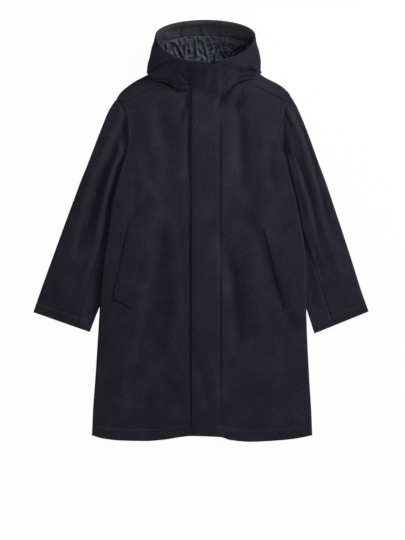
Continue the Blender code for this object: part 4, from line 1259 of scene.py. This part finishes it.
def satin(name):
    """A close satin: long floats across a fine twill, so that its creases catch the light."""
    n = Nodes(name)
    slubs = n.fibres(260, 1900, 1900, 2, 0.55)
    patches = n.noise(60, 2, 0.5)
    tone = n.between(n.sum(slubs, patches, 0.6), 0.55, 1.05, 0, 1)
    n.link(n.ramp(tone, [(0.0, (0.028, 0.0310, 0.0480)), (1.0, (0.054, 0.0590, 0.0860))]), "Base Color")
    n.link(n.between(patches, 0.3, 0.7, 0.5, 0.64), "Roughness")
    n.link(n.bump(slubs, 0.00015, 0.5), "Normal")
    n.set(Specular_IOR_Level=0.24, Sheen_Weight=0.08, Anisotropic=0.35)
    return n.made


def thread(name):
    n = Nodes(name)
    twist = n.fibres(1800, 1800, 600, 1, 0.5)
    n.link(n.ramp(twist, [(0.25, (0.010, 0.010, 0.016)), (0.75, (0.026, 0.026, 0.038))]), "Base Color")
    n.link(n.bump(twist, 0.0002, 0.5), "Normal")
    n.set(Roughness=0.6, Specular_IOR_Level=0.3)
    return n.made


def through_rays(tree, seen, lit):
    """seen where the camera, a gloss or a transmission looks, and lit for the light that falls on things."""
    path = tree.nodes.new("ShaderNodeLightPath")
    most = path.outputs["Is Camera Ray"]
    for name in ("Is Glossy Ray", "Is Transmission Ray"):
        node = tree.nodes.new("ShaderNodeMath")
        node.operation = "MAXIMUM"
        tree.links.new(most, node.inputs[0])
        tree.links.new(path.outputs[name], node.inputs[1])
        most = node.outputs["Value"]
    mixed = tree.nodes.new("ShaderNodeMixShader")
    tree.links.new(most, mixed.inputs["Fac"])
    tree.links.new(lit, mixed.inputs[1])
    tree.links.new(seen, mixed.inputs[2])
    return mixed.outputs["Shader"]


# ---- pieces ----

WOOL_TONES = ((0.0050, 0.0049, 0.0088), (0.0122, 0.0119, 0.0192), (0.0300, 0.0292, 0.0415))
# The facing's tones are paler than the shell's wool: painted light, standing in for the light that falls into
# the hood's opening. Their slightly warmer tint is the facing's own colour.
FACING_TONES_PAINTED_LIGHT = ((0.0165, 0.0158, 0.0215), (0.0305, 0.0292, 0.0380), (0.0530, 0.0508, 0.0620))
WOOL = melton("melton_wool", *WOOL_TONES)
FACING_WOOL_PAINTED_LIGHT = melton("melton_facing", *FACING_TONES_PAINTED_LIGHT)
SATIN = satin("satin_lining")
THREAD = thread("navy_thread")


def add_object(name, data):
    made = bpy.data.objects.new(name, data)
    bpy.context.scene.collection.objects.link(made)
    return made


def weld(mesh):
    bm = bmesh.new()
    bm.from_mesh(mesh)
    bmesh.ops.remove_doubles(bm, verts=bm.verts, dist=0.02 * MM)
    bm.to_mesh(mesh)
    bm.free()


def above_floor(mesh, thickness):
    """Raises what would leave the floor: where the cloth faces up, its thickness stays under it."""
    places = np.empty(3 * len(mesh.vertices))
    facing = np.empty(3 * len(mesh.vertices))
    for _ in range(3):
        mesh.vertices.foreach_get("co", places)
        mesh.vertices.foreach_get("normal", facing)
        places[2::3] = np.maximum(places[2::3], thickness * MM * np.maximum(facing[2::3], 0))
        mesh.vertices.foreach_set("co", places)
        mesh.update()


def cloth(name, patches, thickness, look, node):
    """One sewn piece: its patches joined along shared points, then thickened inwards."""
    vertices, faces, start = [], [], 0
    for grid in patches:
        rows, columns = grid.shape[:2]
        vertices.append(grid.reshape(-1, 3) * MM)
        index = np.arange(rows * columns).reshape(rows, columns) + start
        quads = [index[:-1, :-1], index[:-1, 1:], index[1:, 1:], index[1:, :-1]]
        faces.append(np.stack(quads, -1).reshape(-1, 4))
        start += rows * columns
    mesh = bpy.data.meshes.new(name)
    mesh.from_pydata(np.vstack(vertices).tolist(), [], np.vstack(faces).tolist())
    weld(mesh)
    above_floor(mesh, thickness)
    mesh.materials.append(look)
    mesh.shade_smooth()
    piece = add_object(name, mesh)
    solid = piece.modifiers.new("cloth", "SOLIDIFY")
    solid.thickness = thickness * MM
    solid.offset = -1
    solid.use_even_offset = False
    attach(piece, "root")
    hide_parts(node)
    return piece


def surface(piece):
    mesh = piece.data
    return BVHTree.FromPolygons([v.co for v in mesh.vertices], [p.vertices for p in mesh.polygons])


STITCH = (3.1, 0.75, 0.55)  # length, width and height
PITCH = 4.3
STITCH_CORNERS = (
    (-1, 0, -0.6), (-0.55, 1, 0.1), (-0.55, -1, 0.1), (-0.5, 0, 1),
    (0.5, 0, 1), (0.55, 1, 0.1), (0.55, -1, 0.1), (1, 0, -0.6),
)
STITCH_FACES = ((0, 1, 3), (0, 3, 2), (1, 5, 4, 3), (3, 4, 6, 2), (7, 4, 5), (7, 6, 4))


def stitches(name, tree, lines):
    """Rows of short thread stitches lying on a surface, each along its line."""
    vertices, faces = [], []
    half, wide, high = [c / 2 * MM for c in STITCH]
    for line in lines:
        line = np.asarray(line, float)
        along = run(line[:, None], 0)[:, 0]
        count = int(along[-1] / PITCH)
        ends = (along[-1] - count * PITCH) / 2 + PITCH * (np.arange(count) + 0.5)
        for at in ends:
            middle, ahead = [Vector([np.interp(d, along, c) * MM for c in line.T]) for d in (at, at + 0.5)]
            found, normal, _, _ = tree.find_nearest(middle)
            if normal.dot(Vector((0, 0, 1))) < -0.2:
                normal = -normal
            way = ahead - middle
            way = (way - normal * way.dot(normal)).normalized()
            beside = normal.cross(way)
            first = len(vertices)
            for a, b, c in STITCH_CORNERS:
                vertices.append(found + way * (a * half) + beside * (b * wide) + normal * (c * high))
            faces += [[first + i for i in face] for face in STITCH_FACES]
    mesh = bpy.data.meshes.new(name)
    mesh.from_pydata(vertices, [], faces)
    mesh.materials.append(THREAD)
    mesh.shade_smooth()
    piece = add_object(name, mesh)
    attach(piece, "root")
    return piece


def column_line(grid, distance, from_end=False):
    """The line along a grid's columns at a distance from its first or last column."""
    along = run(grid, 1)
    if from_end:
        grid, along = grid[:, ::-1], along[:, -1:] - along[:, ::-1]
    return np.array([[np.interp(distance, a, c) for c in row.T] for a, row in zip(along, grid)])


def row_line(grid, distance, from_end=False):
    return column_line(np.swapaxes(grid, 0, 1), distance, from_end)


HOOD_PARTS = {"right": "hood_side_right", "centre": "hood_centre", "left": "hood_side_left"}
pieces, stitching = {}, {}


def make(name, *patches, thickness=WALL, look=WOOL, slot="navy_melton"):
    """The cloth piece that replaces the solid of the same name."""
    pieces[name] = cloth("cloth_" + name, patches, thickness, look, name)


def sew(name, lines, thread=None):
    """The stitches along lines on a piece."""
    stitching[name] = stitches("thread_" + (thread or name), surface(pieces[name]), lines)


make("back", back_points()[:, ::-1], shoulder_strip("right"), shoulder_strip("left")[::-1])
fronts = {side: front_points(side) for side in SIDES}
for side in SIDES:
    turn = slice(None, None, sign(side))
    make("front_" + side, fronts[side][:, turn], side_wrap(side)[:, turn])
for side in SIDES:
    for part in ("top", "under"):
        make(f"sleeve_{side}_{part}", sleeve_points(side, part))
hoods = {}
for part, node in HOOD_PARTS.items():
    shell, band = hoods[part] = hood_shell(part), hood_facing(part)
    make(node, shell)
    # the facing wears the paler wool, whose extra lightness is painted light
    make("hood_facing_" + part, band, thickness=FACING_WALL, look=FACING_WOOL_PAINTED_LIGHT, slot="navy_melton_facing")
    make("hood_lining_" + part, hood_lining(part), thickness=LINING_WALL, look=SATIN, slot="slate_satin")
placket = placket_points()
make("placket", placket, thickness=BAND)
welts = {side: welt_points(side) for side in SIDES}
for side in SIDES:
    make("pocket_welt_" + side, welts[side], thickness=WELT_BAND)

edges = [column_line(placket, PLACKET_EDGE), column_line(placket, PLACKET_SEWN, True)]
sew("placket", edges + [row_line(placket, PLACKET_END, True)])
for side in SIDES:
    welt = welts[side]
    edges = [line(welt, WELT_STITCH, end) for line in (column_line, row_line) for end in (False, True)]
    sew("pocket_welt_" + side, edges)
    armhole = column_line(fronts[side][-len(PARTS) : -1], ARMHOLE_STITCH, True)
    sew("front_" + side, [armhole], thread="armhole_" + side)
for part, node in HOOD_PARTS.items():
    shell, band = [grid[: -len(RIM_TURN)] for grid in hoods[part]]
    sew(node, [row_line(shell, RIM_STITCH, True)])
    sew("hood_facing_" + part, [row_line(band, RIM_BAND - RIM_RADIUS, True)])

# ---- cloth as it was cut: width, length, flat area and what it rests on; the table is defined but never filled, and declare() only updates the scene ----

Cut = namedtuple("Cut", "width length area rests_on")


def declare():
    bpy.context.view_layer.update()


# ---- floor, light and camera ----


WHITE = (1, 1, 1, 1)


def plane(name, size, z):
    mesh = bpy.data.meshes.new(name)
    half = size / 2
    corners = [(x * half, y * half, z) for x, y in ((-1, -1), (1, -1), (1, 1), (-1, 1))]
    mesh.from_pydata(corners, [], [(0, 1, 2, 3)])
    made = add_object(name, mesh)
    return made


floor = plane("stage_floor", 12.0, -0.0004)
n = Nodes("white_floor")
n.set(Roughness=0.9, Specular_IOR_Level=0.1)
n.link(n.ramp(n.noise(3, 2, 0.5), [(0.3, (0.80, 0.80, 0.80)), (0.7, (0.83, 0.83, 0.83))]), "Base Color")
glow = n.add("Emission", Strength=1.0, Color=WHITE)
shaded = n.add("MixShader", {1: glow.outputs["Emission"], 2: n.shader.outputs["BSDF"]}, Fac=0.03)
surface_shader = through_rays(n.tree, shaded.outputs["Shader"], n.shader.outputs["BSDF"])
n.tree.links.new(surface_shader, n.tree.nodes["Material Output"].inputs["Surface"])
floor.data.materials.append(n.made)

world = bpy.data.worlds.new("studio")
bpy.context.scene.world = world
world.use_nodes = True
lit = world.node_tree.nodes["Background"]
seen = world.node_tree.nodes.new("ShaderNodeBackground")
for background, strength in ((lit, 0.2), (seen, 1.0)):
    background.inputs["Color"].default_value = WHITE
    background.inputs["Strength"].default_value = strength
sky = through_rays(world.node_tree, seen.outputs["Background"], lit.outputs["Background"])
world.node_tree.links.new(sky, world.node_tree.nodes["World Output"].inputs["Surface"])


def soft_lamp(name, place, at, size, power, spread=180):
    lamp = bpy.data.lights.new(name, "AREA")
    lamp.shape = "SQUARE"
    lamp.size = size
    lamp.energy = power
    lamp.spread = math.radians(spread)
    made = add_object(name, lamp)
    made.location = place
    made.rotation_euler = (Vector(at) - Vector(place)).to_track_quat("-Z", "Y").to_euler()
    made.visible_camera = False


soft_lamp("key_light", (2.2, 1.9, 1.5), (0, 0, 0), 1.0, 122)
soft_lamp("hood_light", (0.1, -0.9, 1.1), (0, 0.42, 0.04), 0.25, 0.22, spread=30)
soft_lamp("fill_light", (0.4, -1.6, 3.0), (0, 0, 0), 1.4, 20)

# The picture is taken from straight above, through a long lens.
lens = bpy.data.cameras.new("camera")
lens.sensor_width = 36
lens.lens = 242.4
lens.clip_end = 100
camera = add_object("camera", lens)
camera.location = (0.0041, -0.1068, 10.0)
bpy.context.scene.camera = camera
bpy.context.scene.view_settings.view_transform = "Standard"

declare()
